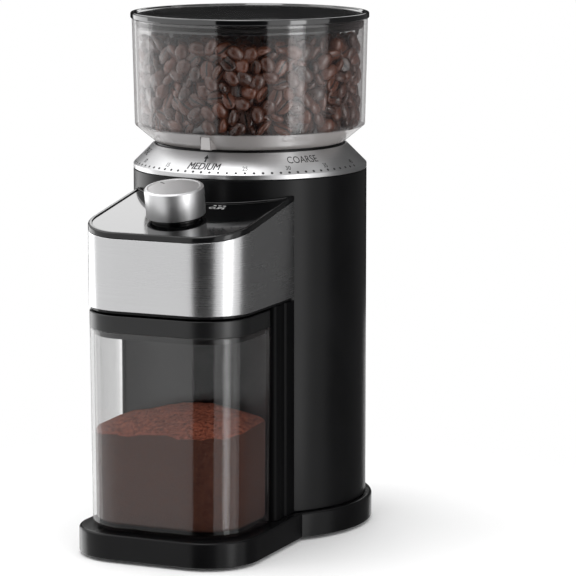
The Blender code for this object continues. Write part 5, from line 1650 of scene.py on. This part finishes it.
@dataclass
class Works:
    """The hidden mechanism: its CAD nodes keep their shape and take their real materials."""

    finishes: dict[str, Finish] = field(default_factory=lambda: {
        "body_black": BLACK_SATIN, "gloss_black": BLACK_GLOSS, "grey_plastic": GREY_NYLON,
        "white_plastic": ACETAL, "dark_steel": HARD_STEEL, "brass": BRASS, "magnet": FERRITE,
        "rubber": RUBBER, "board_green": EPOXY_BOARD, "brushed_steel": STAINLESS,
        "scale_aluminium": RING_METAL, "knob_aluminium": KNOB_METAL, "smoke_clear": HOPPER_CLEAR})

    def build(self) -> None:
        """Give every CAD node the finish of its material slot."""
        for part in frame["record"]["subparts"]:
            node = frame["nodes"][part["node"]]
            finish = self.finishes[part["material_slot"]]
            node.data.materials.clear()
            node.data.materials.append(material_of(finish))
            LOG.info("%s: %s", part["node"], finish.name)


# ---------------------------------------------------------------- studio

@dataclass
class Studio:
    """Camera, soft lights, pale floor and the white surround."""

    azimuth: float = 24.54
    yaw: float = -0.678
    pitch: float = 9.01
    distance: float = 1.9244
    height: float = 0.4455
    lens: float = 201.3
    sensor: float = 36.0
    clip_end: float = 50.0
    aim_z: float = 0.16
    card_steps: int = 16
    soft_white: float = 0.9
    floor_r: float = 0.9
    floor_sides: int = 72
    floor_down: float = 0.0004
    fade_from: float = 0.15
    fade_to: float = 0.29

    def camera(self) -> None:
        """Set the camera by its direction from the burr axis."""
        data = bpy.data.cameras.new("camera")
        data.lens = self.lens
        data.sensor_width = self.sensor
        data.clip_end = self.clip_end
        eye = bpy.data.objects.new("camera", data)
        way = math.radians(self.azimuth)
        eye.location = (self.distance * math.sin(way), AXIS_Y - self.distance * math.cos(way), self.height)
        eye.rotation_euler = (math.radians(90 - self.pitch), 0.0, math.radians(self.azimuth + self.yaw))
        bpy.context.scene.collection.objects.link(eye)
        bpy.context.scene.camera = eye

    def lamp(self, name: str, azimuth: float, elevation: float, far: float, size: tuple[float, float],
             power: float) -> None:
        """Add a soft rectangular light aimed at the object's middle.

        Args:
            name: the lamp's name.
            azimuth: its direction from the front, towards +X, in degrees.
            elevation: its height angle in degrees.
            far: its distance in metres.
            size: its width and height in metres.
            power: its power in watts.
        """
        data = bpy.data.lights.new(name, "AREA")
        data.shape = "RECTANGLE"
        data.size, data.size_y = size
        data.energy = power
        lamp = bpy.data.objects.new(name, data)
        a, e = math.radians(azimuth), math.radians(elevation)
        target = Vector((0.0, 0.0, self.aim_z))
        offset = Vector((math.sin(a) * math.cos(e), -math.cos(a) * math.cos(e), math.sin(e))) * far
        lamp.location = target + offset
        lamp.rotation_euler = (-offset).to_track_quat("-Z", "Y").to_euler()
        bpy.context.scene.collection.objects.link(lamp)

    def card(self, name: str, azimuth: tuple[float, float], height: tuple[float, float], far: float,
             colour: str) -> None:
        """Add a dark studio card: an upright arc round the object that only reflections see.

        Args:
            name: the card's name.
            azimuth: the directions of its two ends from the front, towards +X, in degrees.
            height: the heights of its lower and upper edge in metres.
            far: its distance in metres.
            colour: its hex colour.
        """
        angles = np.radians(np.linspace(azimuth[0], azimuth[1], self.card_steps))
        flat = np.column_stack([far * np.sin(angles), -far * np.cos(angles)])
        points = np.vstack([lifted(flat, height[0]), lifted(flat, height[1])])
        mesh = bpy.data.meshes.new(name)
        mesh.from_pydata(points, [], quads(2, len(flat), False, False).tolist())
        material, _, shader = new_material(name)
        shader.inputs["Base Color"].default_value = linear(colour)
        shader.inputs["Roughness"].default_value = 1.0
        shader.inputs["Specular IOR Level"].default_value = 0.0
        mesh.materials.append(material)
        card = bpy.data.objects.new(name, mesh)
        card.visible_camera = False
        card.visible_diffuse = False
        card.visible_shadow = False
        card.visible_transmission = False
        bpy.context.scene.collection.objects.link(card)

    def world(self) -> None:
        """A soft grey surround that camera, glossy and transmission rays see as white."""
        world = bpy.data.worlds.new("surround")
        world.use_nodes = True
        tree = world.node_tree
        tree.nodes.clear()
        path = add_node(tree, "ShaderNodeLightPath")
        first = add_node(tree, "ShaderNodeMath", {"operation": "MAXIMUM"},
                         {0: path.outputs["Is Camera Ray"], 1: path.outputs["Is Glossy Ray"]})
        seen = add_node(tree, "ShaderNodeMath", {"operation": "MAXIMUM"},
                        {0: first.outputs[0], 1: path.outputs["Is Transmission Ray"]})
        soft = add_node(tree, "ShaderNodeBackground",
                        {"Color": linear("#ffffff"), "Strength": self.soft_white})
        white = add_node(tree, "ShaderNodeBackground", {"Color": linear("#ffffff"), "Strength": 1.0})
        mixed = add_node(tree, "ShaderNodeMixShader", links={0: seen.outputs[0], 1: soft.outputs[0],
                                                            2: white.outputs[0]})
        add_node(tree, "ShaderNodeOutputWorld", links={"Surface": mixed.outputs[0]})
        bpy.context.scene.world = world

    def floor(self) -> None:
        """A pale round table top that fades out to the white surround and keeps the shadow."""
        mesh = bpy.data.meshes.new("floor")
        flat = circle(self.floor_r, self.floor_sides)
        mesh.from_pydata(lifted(flat, -self.floor_down), [], [list(range(len(flat)))])
        material, tree, shader = new_material("pale_table")
        patch = object_noise(tree, (400.0, 400.0, 400.0), 2.0)
        tree.links.new(two_tone(tree, patch, "#fafafa", "#fdfdfd"), shader.inputs["Base Color"])
        place = add_node(tree, "ShaderNodeTexCoord")
        flat_place = add_node(tree, "ShaderNodeMapping", {"Scale": (1.0, 1.0, 0.0)},
                              {"Vector": place.outputs["Object"]})
        radius = add_node(tree, "ShaderNodeVectorMath", {"operation": "LENGTH"}, {0: flat_place.outputs[0]})
        fade = add_node(tree, "ShaderNodeMapRange",
                        {"interpolation_type": "SMOOTHSTEP", 1: self.fade_from, 2: self.fade_to,
                         3: 1.0, 4: 0.0},
                        {0: radius.outputs["Value"]})
        tree.links.new(fade.outputs[0], shader.inputs["Alpha"])
        shader.inputs["Roughness"].default_value = 0.8
        shader.inputs["Specular IOR Level"].default_value = 0.1
        mesh.materials.append(material)
        floor = bpy.data.objects.new("floor", mesh)
        floor.visible_glossy = False
        bpy.context.scene.collection.objects.link(floor)

    def build(self) -> None:
        """Set camera, surround, floor, soft boxes and dark cards."""
        self.camera()
        self.world()
        self.floor()
        self.lamp("box_left", azimuth=-108, elevation=-14, far=1.7, size=(1.1, 1.2), power=6.4)
        self.lamp("box_left_high", azimuth=-78, elevation=44, far=1.7, size=(1.6, 1.2), power=6.0)
        self.lamp("box_right", azimuth=72, elevation=2, far=1.5, size=(0.42, 1.6), power=6.4)
        self.lamp("box_top", azimuth=-30, elevation=80, far=1.6, size=(0.8, 0.8), power=7)
        self.lamp("box_rear_left", azimuth=-156, elevation=27, far=2.0, size=(1.1, 0.8), power=5.2)
        self.card("card_front", azimuth=(-8, 42), height=(-1.6, 2.2), far=2.4, colour="#161616")
        self.card("card_right_rear", azimuth=(106, 180), height=(-1.6, 2.4), far=2.0, colour="#565656")
        self.card("card_rear", azimuth=(180, 232), height=(-0.2, 0.95), far=2.0, colour="#202020")
        self.card("card_above", azimuth=(20, 160), height=(1.9, 3.4), far=1.2, colour="#b4b4b4")
        bpy.context.scene.view_settings.view_transform = "Standard"


def main() -> None:
    """Build the studio and each sub-assembly in order."""
    logging.basicConfig(level=logging.INFO, format="%(name)s %(message)s")
    Studio().build()
    Works().build()
    Base().build()
    ScalePrint(Column().build()).build()
    Knob(Head().build()).build()
    BeanFill(Hopper().build()).build()
    Bin().build()


if __name__ == "__main__":
    main()
